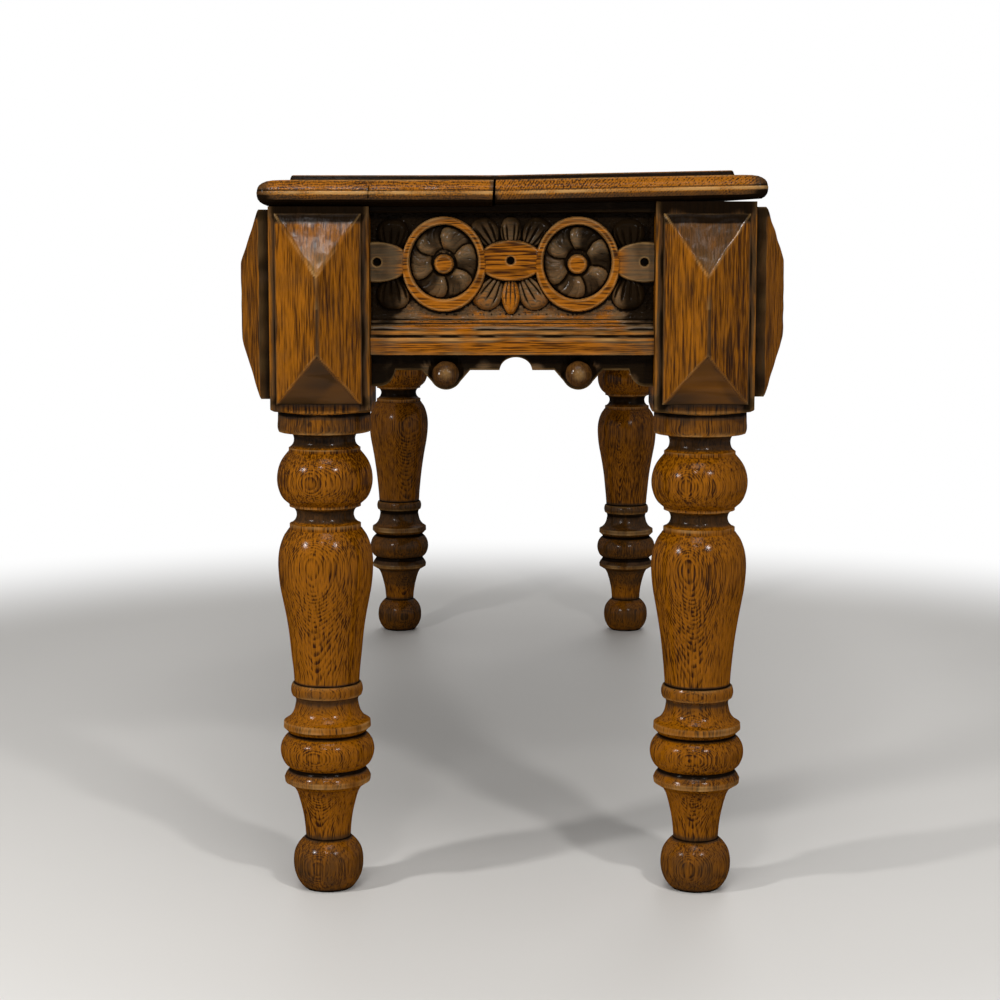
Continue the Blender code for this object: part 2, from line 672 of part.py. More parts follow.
def make_bearers(front, rear):
    """Two bearers let into the long rails, each screwed up into both seat boards."""
    half_length = LEG_Y + RAIL_BACK + HOUSING_DEPTH - FIT
    top = FRAME_TOP - FIT
    screw = turned_mesh("screw", screw_profile(0), SCREW_SEGMENTS)
    hole = turned_mesh("hole", screw_profile(FIT), SCREW_SEGMENTS)
    smooth(screw, 50)
    low, high = (-BEARER_WIDTH / 2, -half_length, -BEARER_THICKNESS), (BEARER_WIDTH / 2, half_length, 0)
    head = top - BEARER_THICKNESS + FIT
    for corner, x in (("left", -BEARER_OFFSET), ("right", BEARER_OFFSET)):
        bearer = add_object(f"bearer_{corner}", box_mesh("bearer", low, high), BENCH, OAK_PLAIN)
        bearer.location = (x, 0, top)
        holes = helpers_for(f"bearer_{corner}_holes", [hole, hole])
        boolean(bearer, "DIFFERENCE", holes)
        for helper, board, sign in zip(holes.objects, ("front", "rear"), (-1, 1)):
            piece = add_object(f"screw_{board}_{corner}", screw, BENCH, IRON)
            piece.location = helper.location = (x, sign * SCREW_OFFSET, head)
    for board, sign in ((front, -1), (rear, 1)):
        holes = helpers_for(f"{board.name}_holes", [hole, hole])
        for helper, x in zip(holes.objects, (-BEARER_OFFSET, BEARER_OFFSET)):
            helper.location = (x, sign * SCREW_OFFSET, head)
        boolean(board, "DIFFERENCE", holes)


def make_glue_block(side, frame):
    """A three-cornered block rubbed into the corner between a rail's back and the seat."""
    back, top, leg = RAIL_BACK - FIT, FRAME_TOP, GLUE_BLOCK_SIDE
    points = [(back, top), (back - leg, top), (back, top - leg)]
    mesh = outline_mesh("glue_block", [points], -GLUE_BLOCK_LENGTH / 2, GLUE_BLOCK_LENGTH / 2)
    add_object(f"glue_block_{side}", mesh, BENCH, OAK_PLAIN, frame).matrix_local = LENGTHWISE


# Turns an outline drawn as (depth, height) so that its extrusion runs along a side
LENGTHWISE = Matrix(((0, 0, -1, 0), (0, 1, 0, 0), (1, 0, 0, 0), (0, 0, 0, 1)))

for old in list(bpy.data.objects):
    bpy.data.objects.remove(old)
JOINERY = []
BENCH = make_collection("hall_bench")
HELPERS = make_collection("cutters")
OAK = make_material("polished_oak", (0.19, 0.085, 0.028), 0.38)
OAK_DARK = make_material("dark_oak", (0.09, 0.042, 0.018), 0.34)
OAK_PLAIN = make_material("unpolished_oak", (0.24, 0.15, 0.075), 0.75)
IRON = make_material("iron", (0.12, 0.11, 0.10), 0.55, 0.9)

for y_name, y_sign in (("front", -1), ("rear", 1)):
    for x_name, x_sign in (("left", -1), ("right", 1)):
        make_leg(f"leg_{y_name}_{x_name}", x_sign, y_sign)
for side_name in SIDES:
    side_frame = make_side_frame(side_name)
    side_rings = make_rail(side_name, side_frame)
    make_moulding(side_name, side_frame)
    make_balls(side_name, side_frame, side_rings)
    make_bosses(side_name, side_frame)
    make_glue_block(side_name, side_frame)
make_bearers(*make_seat())
apply_joinery()
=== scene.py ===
"""Dressed hall bench: waxed old oak, with turned legs, carved rails and a moulded two-board seat.

Every new piece is a surface worked out with numpy on a grid of two parameters.  Each grid point also
carries its place in the wood (along the fibres, and across them from the pith), a share of old wax and
soil with painted shade, and a share of rubbing with painted highlight and sheen, and the oak finishes
read these three attributes.  Metres, +Z up.
"""

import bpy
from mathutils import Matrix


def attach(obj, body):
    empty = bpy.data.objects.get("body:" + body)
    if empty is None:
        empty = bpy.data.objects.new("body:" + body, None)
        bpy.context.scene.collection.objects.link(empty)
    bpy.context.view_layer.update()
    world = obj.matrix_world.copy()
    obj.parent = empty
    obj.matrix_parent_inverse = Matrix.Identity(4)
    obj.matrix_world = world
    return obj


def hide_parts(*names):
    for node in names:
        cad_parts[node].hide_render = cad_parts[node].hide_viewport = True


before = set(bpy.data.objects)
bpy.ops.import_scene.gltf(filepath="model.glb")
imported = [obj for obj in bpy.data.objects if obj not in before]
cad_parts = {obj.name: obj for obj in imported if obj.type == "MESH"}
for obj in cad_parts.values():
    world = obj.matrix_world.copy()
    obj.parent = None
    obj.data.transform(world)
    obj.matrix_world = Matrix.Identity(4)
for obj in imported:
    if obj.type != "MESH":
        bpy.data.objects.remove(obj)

import logging
import math
from abc import ABC, abstractmethod
from dataclasses import dataclass, field, replace
from enum import Enum
from typing import ClassVar

import bpy
import numpy as np
from mathutils import Matrix, Vector
from numpy.typing import NDArray

Array = NDArray[np.float64]
Colour = tuple[float, float, float]
Pair = tuple[float, float]

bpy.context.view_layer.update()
LOG = logging.getLogger("hall_bench")
WHITE = (1.0, 1.0, 1.0, 1.0)
MILLIMETRES = 1000.0
WAVES = 7
SHARP_DEGREES = 40


class Fibre(Enum):
    """Where an oak finish finds the direction of the fibres."""

    CARRIED = "carried"
    ALONG_X = "x"
    ALONG_Y = "y"


class Slot(Enum):
    """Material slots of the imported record."""

    POLISHED = "polished_oak"
    DARK = "dark_oak"


def ease(low: float, high: float, value: Array) -> Array:
    """Smooth step: 0 below low, 1 above high (or the other way round), 3t^2 - 2t^3 between."""
    t = np.clip((value - low) / (high - low), 0.0, 1.0)
    return t * t * (3.0 - 2.0 * t)


def bell(value: Array, middle: float, width: float) -> Array:
    """Bell curve: 1 at its middle, 1/e at the distance of its width."""
    return np.exp(-(((value - middle) / width) ** 2))


def quarter_round(depth: Array, width: float) -> Array:
    """A step with a rounded arris: a quarter ellipse over the width inside the edge, then level."""
    t = 1.0 - np.clip(depth / width, 0.0, 1.0)
    return np.sqrt(1.0 - t * t)


def inside_oval(x: Array, y: Array, half_width: float, half_height: float) -> Array:
    """Distance inside an ellipse, to first order: (1 - e) over the slope of e, e the scaled radius."""
    e = np.hypot(x / half_width, y / half_height) + 1e-9
    return (1.0 - e) * e / (np.hypot(x / half_width**2, y / half_height**2) + 1e-9)


def lengths(knots: Array) -> Array:
    """Lengths along a line of points, from its start to each of them."""
    return np.concatenate([[0.0], np.cumsum(np.hypot(*np.diff(knots, axis=0).T))])


def blurred(height: Array, passes: int) -> Array:
    """A field smoothed by repeated passes of the weights 1, 2, 1 along both axes.

    Args:
        height: Field on a grid.
        passes: Number of passes; the reach grows with its square root.

    Returns:
        The smoothed field.
    """
    for _ in range(2 * passes):
        wide = np.pad(height, ((1, 1), (0, 0)), mode="edge")
        height = ((wide[:-2] + 2.0 * height + wide[2:]) / 4.0).T
    return height


def wobble(x: Array, y: Array, length: float, seed: int) -> Array:
    """Gentle hand-made unevenness: a mean of sine waves in seeded directions.

    Args:
        x: First coordinate.
        y: Second coordinate.
        length: Typical wave length.
        seed: Seed of the directions and phases.

    Returns:
        Values mostly between -1 and 1.
    """
    rng = np.random.default_rng(seed)
    turn, phase = rng.uniform(0, 2 * np.pi, (2, WAVES))
    rate = 2 * np.pi / length * rng.uniform(0.6, 1.6, WAVES)
    shape = (WAVES,) + (1,) * np.broadcast(x, y).ndim
    angle = (rate * np.cos(turn)).reshape(shape) * x + (rate * np.sin(turn)).reshape(shape) * y
    return np.sin(angle + phase.reshape(shape)).sum(axis=0) * math.sqrt(2.0 / WAVES) / 1.6


def in_wood(along: Array, across: Array, through: Array, pith: Pair, seed: int) -> Array:
    """Places in the tree: along the fibres from a seeded start, and across them from the pith."""
    start = np.random.default_rng(seed).uniform(-4.0, 4.0)
    return np.stack(np.broadcast_arrays(along + start, across + pith[0], through + pith[1]), axis=-1)


@dataclass(frozen=True)
class Band:
    """A share of soil and painted shade, or of rubbing and painted highlight, that comes in over one
    stretch and may go out again over another.
    """

    share: float
    rise: Pair
    fall: Pair | None = None

    def at(self, value: Array) -> Array:
        """The share at each place."""
        share = self.share * ease(*self.rise, value)
        return share if self.fall is None else share * ease(*self.fall, value)


@dataclass
class Skin:
    """A grid of surface points, with what the finishes read at each of them.

    Attributes:
        points: Places, shaped (rows, columns, 3).
        wood: Places in the wood, of the same shape.
        grime_and_shade: Share of old wax and soil at each point, and of shade painted into hollows, under the
            seat and beside parts.
        wear_and_sheen: Share of rubbing at each point, and of painted highlight and sheen on some arrises.
        ring: True where the last column joins the first one and flat faces close the first and the
            last row; otherwise one face closes the border of the grid.
    """

    points: Array
    wood: Array
    grime_and_shade: Array
    wear_and_sheen: Array
    ring: bool = True

    def faces(self) -> tuple[Array, Array]:
        """Corner indices of all faces in one row and the number of corners of each, facing out.

        A face joins each point to its three neighbours further along the rows and columns.  The
        enclosed volume is the sum over faces of middle times area vector; where it is below zero
        the order of all corners is turned round.

        Returns:
            The corners and the sizes.
        """
        rows, columns = self.points.shape[:2]
        index = np.arange(rows * columns).reshape(rows, columns)
        wide = np.concatenate([index, index[:, :1]], axis=1) if self.ring else index
        quads = np.stack([wide[:-1, :-1], wide[:-1, 1:], wide[1:, 1:], wide[1:, :-1]], axis=-1)
        border = np.concatenate([index[0, :-1], index[:-1, -1], index[-1, :0:-1], index[:0:-1, 0]])
        flats = [index[0][::-1], index[-1]] if self.ring else [border[::-1]]
        loops = np.concatenate([quads.ravel(), *flats])
        counts = np.concatenate([np.full(quads.size // 4, 4), [flat.size for flat in flats]])
        start = np.cumsum(counts) - counts
        after = np.arange(loops.size) + 1
        after[start + counts - 1] = start
        place = self.points.reshape(-1, 3)[loops]
        area = np.add.reduceat(np.cross(place, place[after]), start)
        middle = np.add.reduceat(place, start) / counts[:, None]
        if (area * middle).sum() < 0:
            return loops[::-1], counts[::-1]
        return loops, counts


class Piece(ABC):
    """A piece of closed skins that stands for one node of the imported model."""

    ending: ClassVar[str]
    slot: ClassVar[Slot] = Slot.POLISHED

    @property
    @abstractmethod
    def node(self) -> str:
        """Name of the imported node."""

    @abstractmethod
    def skins(self) -> list[Skin]:
        """Its closed surfaces."""

    def build(self, finish: bpy.types.Material) -> None:
        """Makes one mesh from the skins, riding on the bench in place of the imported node.

        Args:
            finish: Its material.
        """
        skins, loops, counts, total = self.skins(), [], [], 0
        for skin in skins:
            corners, sizes = skin.faces()
            loops.append(corners + total)
            counts.append(sizes)
            total += skin.points.size // 3
        corners, sizes = np.concatenate(loops), np.concatenate(counts)
        joined = {key: np.concatenate([getattr(skin, key).ravel() for skin in skins]).astype(np.float32)
                  for key in ("points", "wood", "grime_and_shade", "wear_and_sheen")}
        name = f"{self.node}_{self.ending}"
        mesh = bpy.data.meshes.new(name)
        mesh.vertices.add(total)
        mesh.loops.add(corners.size)
        mesh.polygons.add(sizes.size)
        mesh.vertices.foreach_set("co", joined["points"])
        mesh.loops.foreach_set("vertex_index", corners.astype(np.int32))
        mesh.polygons.foreach_set("loop_start", (np.cumsum(sizes) - sizes).astype(np.int32))
        mesh.update(calc_edges=True)
        mesh.attributes.new("wood", "FLOAT_VECTOR", "POINT").data.foreach_set("vector", joined["wood"])
        for key in ("grime_and_shade", "wear_and_sheen"):
            share = mesh.attributes.new(key, "FLOAT", "POINT")
            share.data.foreach_set("value", np.clip(joined[key], 0.0, 1.0))
        mesh.shade_smooth()
        mesh.set_sharp_from_angle(angle=math.radians(SHARP_DEGREES))
        mesh.materials.append(finish)
        piece = bpy.data.objects.new(name, mesh)
        bpy.context.scene.collection.objects.link(piece)
        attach(piece, "root")
        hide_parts(self.node)
        LOG.info("%s: %d faces", name, sizes.size)


@dataclass(frozen=True)
class Signal:
    """An output of a shader node; sums and products with it add Math nodes to its sheet."""

    sheet: "NodeSheet"
    socket: bpy.types.NodeSocket

    def __add__(self, other: "Signal | float") -> "Signal":
        """The sum."""
        return self.sheet.maths("ADD", self, other)

    def __sub__(self, other: "Signal | float") -> "Signal":
        """The difference."""
        return self.sheet.maths("SUBTRACT", self, other)

    def __rsub__(self, other: float) -> "Signal":
        """What is left of a number."""
        return self.sheet.maths("SUBTRACT", other, self)

    def __mul__(self, other: "Signal | float") -> "Signal":
        """The product."""
        return self.sheet.maths("MULTIPLY", self, other)

    def __truediv__(self, other: float) -> "Signal":
        """The quotient."""
        return self.sheet.maths("DIVIDE", self, other)


class NodeSheet:
    """Adds shader nodes to a material or a world and links them."""

    def __init__(self, owner: bpy.types.Material | bpy.types.World) -> None:
        """Opens the owner's nodes."""
        owner.use_nodes = True
        self.owner, self.tree = owner, owner.node_tree

    @property
    def shader(self) -> bpy.types.Node:
        """The material's surface shader."""
        return self.tree.nodes["Principled BSDF"]

    def feed(self, node: bpy.types.Node, inputs: dict[int | str, object]) -> None:
        """Links inputs of a node to signals, or sets their values.

        Args:
            node: The node.
            inputs: What goes into it, by name or number of the input.
        """
        for key, value in inputs.items():
            if isinstance(value, Signal):
                self.tree.links.new(value.socket, node.inputs[key])
            else:
                node.inputs[key].default_value = value

    def node(self, kind: str, inputs: dict[int | str, object] | None = None, out: int | str = 0,
             **settings: object) -> Signal:
        """Adds a node and gives back one of its outputs.

        Args:
            kind: Type of the node.
            inputs: What goes into it, by name or number of the input.
            out: Which output to give back.
            **settings: Properties of the node.

        Returns:
            The output.
        """
        node = self.tree.nodes.new(kind)
        for key, value in settings.items():
            setattr(node, key, value)
        self.feed(node, inputs or {})
        return Signal(self, node.outputs[out])

    def maths(self, operation: str, *values: object) -> Signal:
        """A Math node."""
        return self.node("ShaderNodeMath", dict(enumerate(values)), operation=operation)

    def length(self, vector: Signal) -> Signal:
        """Length of a vector."""
        return self.node("ShaderNodeVectorMath", {0: vector}, "Value", operation="LENGTH")

    def split(self, vector: Signal) -> list[Signal]:
        """The three coordinates of a vector."""
        parts = self.node("ShaderNodeSeparateXYZ", {0: vector}).socket.node.outputs
        return [Signal(self, part) for part in parts]

    def local(self) -> Signal:
        """Object coordinates."""
        return self.node("ShaderNodeTexCoord", out="Object")

    def carried(self, name: str, out: str = "Fac") -> Signal:
        """An attribute of the mesh."""
        return self.node("ShaderNodeAttribute", out=out, attribute_name=name)

    def noise(self, place: Signal, along: float, across: float, detail: float) -> Signal:
        """Noise about one half, on stretched places.

        Args:
            place: The places.
            along: Rate along X.
            across: Rate along Y and Z.
            detail: Number of finer layers.

        Returns:
            The noise.
        """
        stretch = {0: place, 1: (along, across, across)}
        stretched = self.node("ShaderNodeVectorMath", stretch, operation="MULTIPLY")
        return self.node("ShaderNodeTexNoise", {"Vector": stretched, "Scale": 1.0, "Detail": detail})

    def ramp(self, *steps: object) -> Signal:
        """A smooth step of a value between two bounds, from 0 to 1 or between two given results."""
        return self.node("ShaderNodeMapRange", dict(enumerate(steps)), interpolation_type="SMOOTHSTEP")

    def blend(self, share: Signal, first: Signal | Colour, second: Signal | Colour) -> Signal:
        """A mix of two colours."""
        pair = [(*c, 1.0) if isinstance(c, tuple) else c for c in (first, second)]
        return self.node("ShaderNodeMix", {0: share, 6: pair[0], 7: pair[1]}, 2, data_type="RGBA")

    def bump(self, strength: float, depth: float, height: Signal) -> Signal:
        """A normal tilted by the slope of a height."""
        return self.node("ShaderNodeBump", {"Strength": strength, "Distance": depth, "Height": height})

    def seen(self) -> Signal:
        """Tells the rays that show a thing itself, straight, mirrored or through glass.

        Returns:
            One for these rays, zero for the others.
        """
        path = self.node("ShaderNodeLightPath").socket.node.outputs
        kinds = [Signal(self, path[f"Is {kind} Ray"]) for kind in ("Camera", "Glossy", "Transmission")]
        return self.maths("MAXIMUM", self.maths("MAXIMUM", kinds[0], kinds[1]), kinds[2])


# Noise in the wood: rate along the fibres, rate across them, and detail
GRAIN: dict[str, tuple[float, float, float]] = {
    "drift": (2.6, 17.0, 2.0), "tone": (4.0, 26.0, 2.0), "streaks": (45.0, 820.0, 2.0),
    "gaps": (40.0, 480.0, 2.0), "dashes": (110.0, 1500.0, 1.0), "pores": (150.0, 2300.0, 1.0),
    "patches": (60.0, 75.0, 3.0)}


@dataclass(frozen=True)
class OakFinish:
    """Oak under wax: growth rings round the pith, open pores, streaks, soil, arrises paled by rubbing,
    painted shade and painted sheen.

    The ring line is a smooth step on the fraction of pith distance over ring width, the pores are
    noise stretched along the fibres, and the carried shares mix in soil with painted shade, and rubbing
    with painted sheen.
    """

    name: str
    pale: Colour
    deep: Colour
    # Colours: near-black for pores, soil and painted shade; dulled for soil and painted shade; pale for
    # rubbing and painted sheen
    dirt_and_shade: Colour = (0.0050, 0.0027, 0.0011)
    dulled_and_shaded: Colour = (0.034, 0.018, 0.0065)
    rubbed_and_sheen: Colour = (0.46, 0.260, 0.090)
    dirt_and_shade_share: float = 0.96
    dulled_and_shaded_share: float = 0.82
    rubbed_and_sheen_share: float = 0.8
    ring_width: float = 0.00065
    ring_share: float = 0.60
    ring_drift: float = 0.014
    streak_share: float = 2.7
    tone_share: float = 1.5
    pore_share: float = 0.28
    roughness: float = 0.46
    gloss: float = 0.0
    coat: float = 0.024
    coat_ior: float = 3.2
    coat_roughness: float = 0.15
    coat_uneven: float = 0.12
    uneven: float = 0.35
    grain_depth: float = 0.0005
    middle_height: float = 0.41
    fibre: Fibre = Fibre.CARRIED

    def place(self, sheet: NodeSheet) -> Signal:
        """Places in the wood, from the attribute or from Object coordinates.

        Args:
            sheet: The material's nodes.

        Returns:
            The places, fibres along X.
        """
        if self.fibre is Fibre.CARRIED:
            return sheet.carried("wood", "Vector")
        x, y, z = sheet.split(sheet.local())
        along, across = (x, y) if self.fibre is Fibre.ALONG_X else (y, x)
        return sheet.node("ShaderNodeCombineXYZ", {0: along, 1: across, 2: z - self.middle_height})

    def build(self) -> bpy.types.Material:
        """Makes the material.

        Returns:
            The finished material.
        """
        sheet = NodeSheet(bpy.data.materials.new(self.name))
        place = self.place(sheet)
        noise = {key: sheet.noise(place, *rates) for key, rates in GRAIN.items()}
        streaks, patches = noise["streaks"], noise["patches"]
        _, across, through = sheet.split(place)
        radius = sheet.length(sheet.node("ShaderNodeCombineXYZ", {1: across, 2: through}))
        radius = radius + (noise["drift"] - 0.5) * self.ring_drift
        turn = sheet.maths("FRACT", radius / self.ring_width)
        line = sheet.maths("MAXIMUM", sheet.ramp(turn, 0.10, 0.75, 1.0, 0.0), sheet.ramp(turn, 0.90, 1.0))
        line = line * sheet.ramp(noise["gaps"], 0.36, 0.60, 0.15, 1.0)
        dashes = sheet.ramp(noise["dashes"], 0.53, 0.66)
        pores = sheet.maths("MAXIMUM", sheet.ramp(noise["pores"], 0.53, 0.63), dashes)
        pores = pores * (line * 0.40 + 0.60)
        figure = line * self.ring_share + (streaks - 0.5) * self.streak_share
        figure = figure + (noise["tone"] - 0.5) * self.tone_share
        colour = sheet.blend(sheet.ramp(figure, -0.25, 0.80), self.pale, self.deep)
        colour = sheet.blend(pores * self.pore_share, colour, self.dirt_and_shade)
        rough = streaks * 0.22 + (self.roughness - 0.11) + pores * 0.10
        wax: Signal | float = self.coat
        if self.fibre is Fibre.CARRIED:
            # The carried shares paint shade in hollows and under parts along with soil, and sheen along with
            # rubbing
            lying = sheet.carried("grime_and_shade") + (patches - 0.5) * 0.5
            grime_and_shade, deepest = sheet.ramp(lying, 0.12, 0.55), sheet.ramp(lying, 0.55, 0.95)
            worn_and_sheen = sheet.carried("wear_and_sheen") * sheet.ramp(patches, 0.28, 0.58, 0.35, 1.0)
            for share, over in ((grime_and_shade * self.dulled_and_shaded_share, self.dulled_and_shaded), (deepest * self.dirt_and_shade_share, self.dirt_and_shade),
                                (worn_and_sheen * self.rubbed_and_sheen_share, self.rubbed_and_sheen)):
                colour = sheet.blend(share, colour, over)
            wax = (grime_and_shade * 0.4 + 1.0) * self.coat * (1.0 - deepest * 0.85) * (1.0 - pores * 0.8)
            rough = rough - grime_and_shade * 0.14
        raised = streaks * 0.5 - pores - line * 0.25 + patches * 0.9
        sheet.feed(sheet.shader, {
            "Base Color": colour, "Roughness": rough, "Specular IOR Level": self.gloss,
            "Normal": sheet.bump(self.uneven, self.grain_depth, raised),
            "Coat Weight": wax, "Coat Roughness": self.coat_roughness, "Coat IOR": self.coat_ior,
            "Coat Normal": sheet.bump(self.coat_uneven * self.uneven, self.grain_depth, raised)})
        return sheet.owner


@dataclass(frozen=True)
class IronFinish:
    """Old iron: dark grey with specks and patches of brown rust."""

    name: str = "old_iron"
    grey: Colour = (0.10, 0.095, 0.09)
    rust: Colour = (0.13, 0.055, 0.025)
    speck_rate: float = 420.0

    def build(self) -> bpy.types.Material:
        """Makes the material, rust mixed in by noise on Object coordinates.

        Returns:
            The finished material.
        """
        sheet = NodeSheet(bpy.data.materials.new(self.name))
        specks = sheet.noise(sheet.local(), self.speck_rate, self.speck_rate, 4.0)
        rusty = sheet.ramp(specks, 0.45, 0.62)
        sheet.feed(sheet.shader, {
            "Base Color": sheet.blend(rusty, self.grey, self.rust), "Metallic": 0.9 - rusty,
            "Roughness": rusty * 0.4 + 0.4, "Normal": sheet.bump(0.5, 0.0003, rusty)})
        return sheet.owner


@dataclass(frozen=True)
class FloorFinish:
    """Plain pale floor that runs out into white away from the bench."""

    name: str = "pale_floor"
    colour: Colour = (0.64, 0.62, 0.59)
    shade: float = 0.97
    shade_rate: float = 5.0
    roughness: float = 0.6
    fade: Pair = (0.70, 1.25)

    def build(self) -> bpy.types.Material:
        """Makes the material, with a trace of unevenness in its tone.

        By distance from the bench the camera and reflections see white in place of the floor; the
        light that falls on the bench from the floor stays the floor's own.

        Returns:
            The finished material.
        """
        sheet = NodeSheet(bpy.data.materials.new(self.name))
        place = sheet.local()
        darker = tuple(self.shade * part for part in self.colour)
        uneven = sheet.noise(place, self.shade_rate, self.shade_rate, 3.0)
        sheet.feed(sheet.shader, {"Base Color": sheet.blend(uneven, self.colour, darker),
                                  "Roughness": self.roughness})
        white = sheet.node("ShaderNodeEmission", {"Color": WHITE, "Strength": 1.0})
        shown = sheet.seen() * sheet.ramp(sheet.length(place), *self.fade)
        surface = Signal(sheet, sheet.shader.outputs[0])
        mixed = sheet.node("ShaderNodeMixShader", {0: shown, 1: surface, 2: white})
        sheet.feed(sheet.tree.nodes["Material Output"], {"Surface": mixed})
        return sheet.owner


@dataclass(frozen=True)
class Frame:
    """Levels and distances that several sub-assemblies share."""

    top: float = 0.4797
    rear_top: float = 0.48343
    rear_slope: float = 0.0207
    block_bottom: float = 0.3392
    block_half: float = 0.034
    boss_half: float = 0.029
    leg_x: float = 0.5015
    leg_y: float = 0.13045
    ground: float = 0.019
    rail_back: float = 0.002
    band: float = 0.4412
    apron_edge: float = 0.369
    moulding_top: float = 0.3999
    moulding_bottom: float = 0.3799
    ball_height: float = 0.3667
    fit: float = 0.0003


FRAME = Frame()


@dataclass(frozen=True)
class Side:
    """One side of the frame: s runs along it, h up and d outwards from the line of leg axes."""

    name: str
    degrees: float
    half_span: float
    distance: float
    rings: int
    corners: tuple[str, str]
    end_margin: float = 0.0055

    @property
    def is_end(self) -> bool:
        """True on the two short sides."""
        return self.rings < 5

    @property
    def half_clear(self) -> float:
        """Half the clear width between the blocks."""
        return self.half_span - FRAME.block_half - FRAME.fit

    @property
    def pitch(self) -> float:
        """Distance from ring to ring."""
        return 2 * (self.half_clear - self.end_margin) / self.rings

    @property
    def centres(self) -> Array:
        """Places of the rings along the side."""
        return self.pitch * (np.arange(self.rings) + 0.5 - self.rings / 2)

    def nearest(self, s: Array, shift: float = 0.0, between: bool = False) -> tuple[Array, Array]:
        """The nearest ring, or the nearest place half-way between rings, to places along the side.

        Args:
            s: Places along the side.
            shift: How far the rings are moved along it.
            between: True for the places between the rings and beside the outer ones.

        Returns:
            Their numbers, and the distances from them.
        """
        first = self.centres[0] + shift
        half, last = (0.5, self.rings) if between else (0.0, self.rings - 1)
        number = np.clip(np.round((s - first) / self.pitch + half), 0, last)
        return number, s - first + half * self.pitch - number * self.pitch

    def place(self, s: Array, h: Array, d: Array) -> Array:
        """Turns places on the side into the bench's frame.

        The side's own frame is turned about the vertical by its angle, its d pointing outwards.

        Args:
            s: Distance along the side.
            h: Height.
            d: Distance outwards from the line of leg axes.

        Returns:
            Points on a last axis of three.
        """
        turn = math.radians(self.degrees)
        out = self.distance + d
        x = s * math.cos(turn) + out * math.sin(turn)
        y = s * math.sin(turn) - out * math.cos(turn)
        return np.stack(np.broadcast_arrays(x, y, h), axis=-1)


SIDES = (
    Side("front", 0, FRAME.leg_x, FRAME.leg_y, 10, ("left", "right")),
    Side("right", 90, FRAME.leg_y, FRAME.leg_x, 2, ("front", "rear")),
    Side("rear", 180, FRAME.leg_x, FRAME.leg_y, 10, ("right", "left")),
    Side("left", 270, FRAME.leg_y, FRAME.leg_x, 2, ("rear", "front")),
)

# The turning from the block to the floor as runs of (height, radius) in millimetres; a run is one
# smooth curve and meets the next one at an arris or a quirk
TURNING: tuple[tuple[Pair, ...], ...] = (
    ((352, 31.6), (342, 32.0), (334, 32.3), (327, 32.2), (325.5, 31.6)),
    ((325.2, 30.5), (324.8, 23.6), (322.6, 21.7), (319.5, 21.2), (316.6, 22.1), (314.6, 24.1)),
    ((314.2, 24.8), (311.9, 24.8)),
    ((311.6, 25.2), (308, 28.2), (305, 30.2), (302, 31.6), (298, 32.8), (293, 33.4), (288, 33.0),
     (284, 31.9), (281, 30.6), (278.5, 28.9), (276.2, 26.4), (275.2, 25.2)),
    ((275, 24.8), (273.2, 24.8)),
    ((273, 23.4), (271.5, 21.3), (267.5, 19.9), (264, 20.9), (261.4, 23.4)),
    ((261, 24.9), (257.6, 24.9)),
    ((257.4, 25.6), (255, 27.3), (253, 28.7), (250, 30.1), (245, 31.8), (239, 32.9), (234, 33.2),
     (225, 32.8), (217, 31.9), (206, 29.9), (194, 27.8), (181, 25.9), (167, 24.4), (155, 23.3),
     (148.3, 22.9)),
    ((147.8, 24.3), (146, 25.0), (141, 25.0), (139.4, 24.4)),
    ((139, 23), (136.5, 21.9), (132, 22.3), (128, 23.4), (125, 25.1), (122.5, 27.6), (121.2, 29.8)),
    ((120.7, 30.5), (116.6, 30.7)),
    ((115.8, 29.8), (113.5, 27.5), (112.3, 26.2)),
    ((112, 26.6), (109.5, 29.6), (106, 31.8), (100, 33.0), (94, 31.8), (90.5, 29.9), (88.2, 27.2)),
    ((88, 26.4), (86.5, 27.0), (83, 29.4), (81, 30.3)),
    ((80.6, 30.5), (77.6, 30.1)),
    ((77, 29), (75, 26.0), (74.2, 24.6)),
    ((74, 24.2), (70, 21.9), (64, 20.0), (58, 18.5), (52, 17.3), (44, 16.3), (37.2, 15.8)),
    ((37, 16.0), (34.5, 18.8), (31, 21.6), (28, 23.2), (25, 24.1), (19.5, 24.7), (13, 24.2), (10, 23.4),
     (7, 22.2), (4, 20.4), (1.5, 18.4), (0, 16.8)),
)


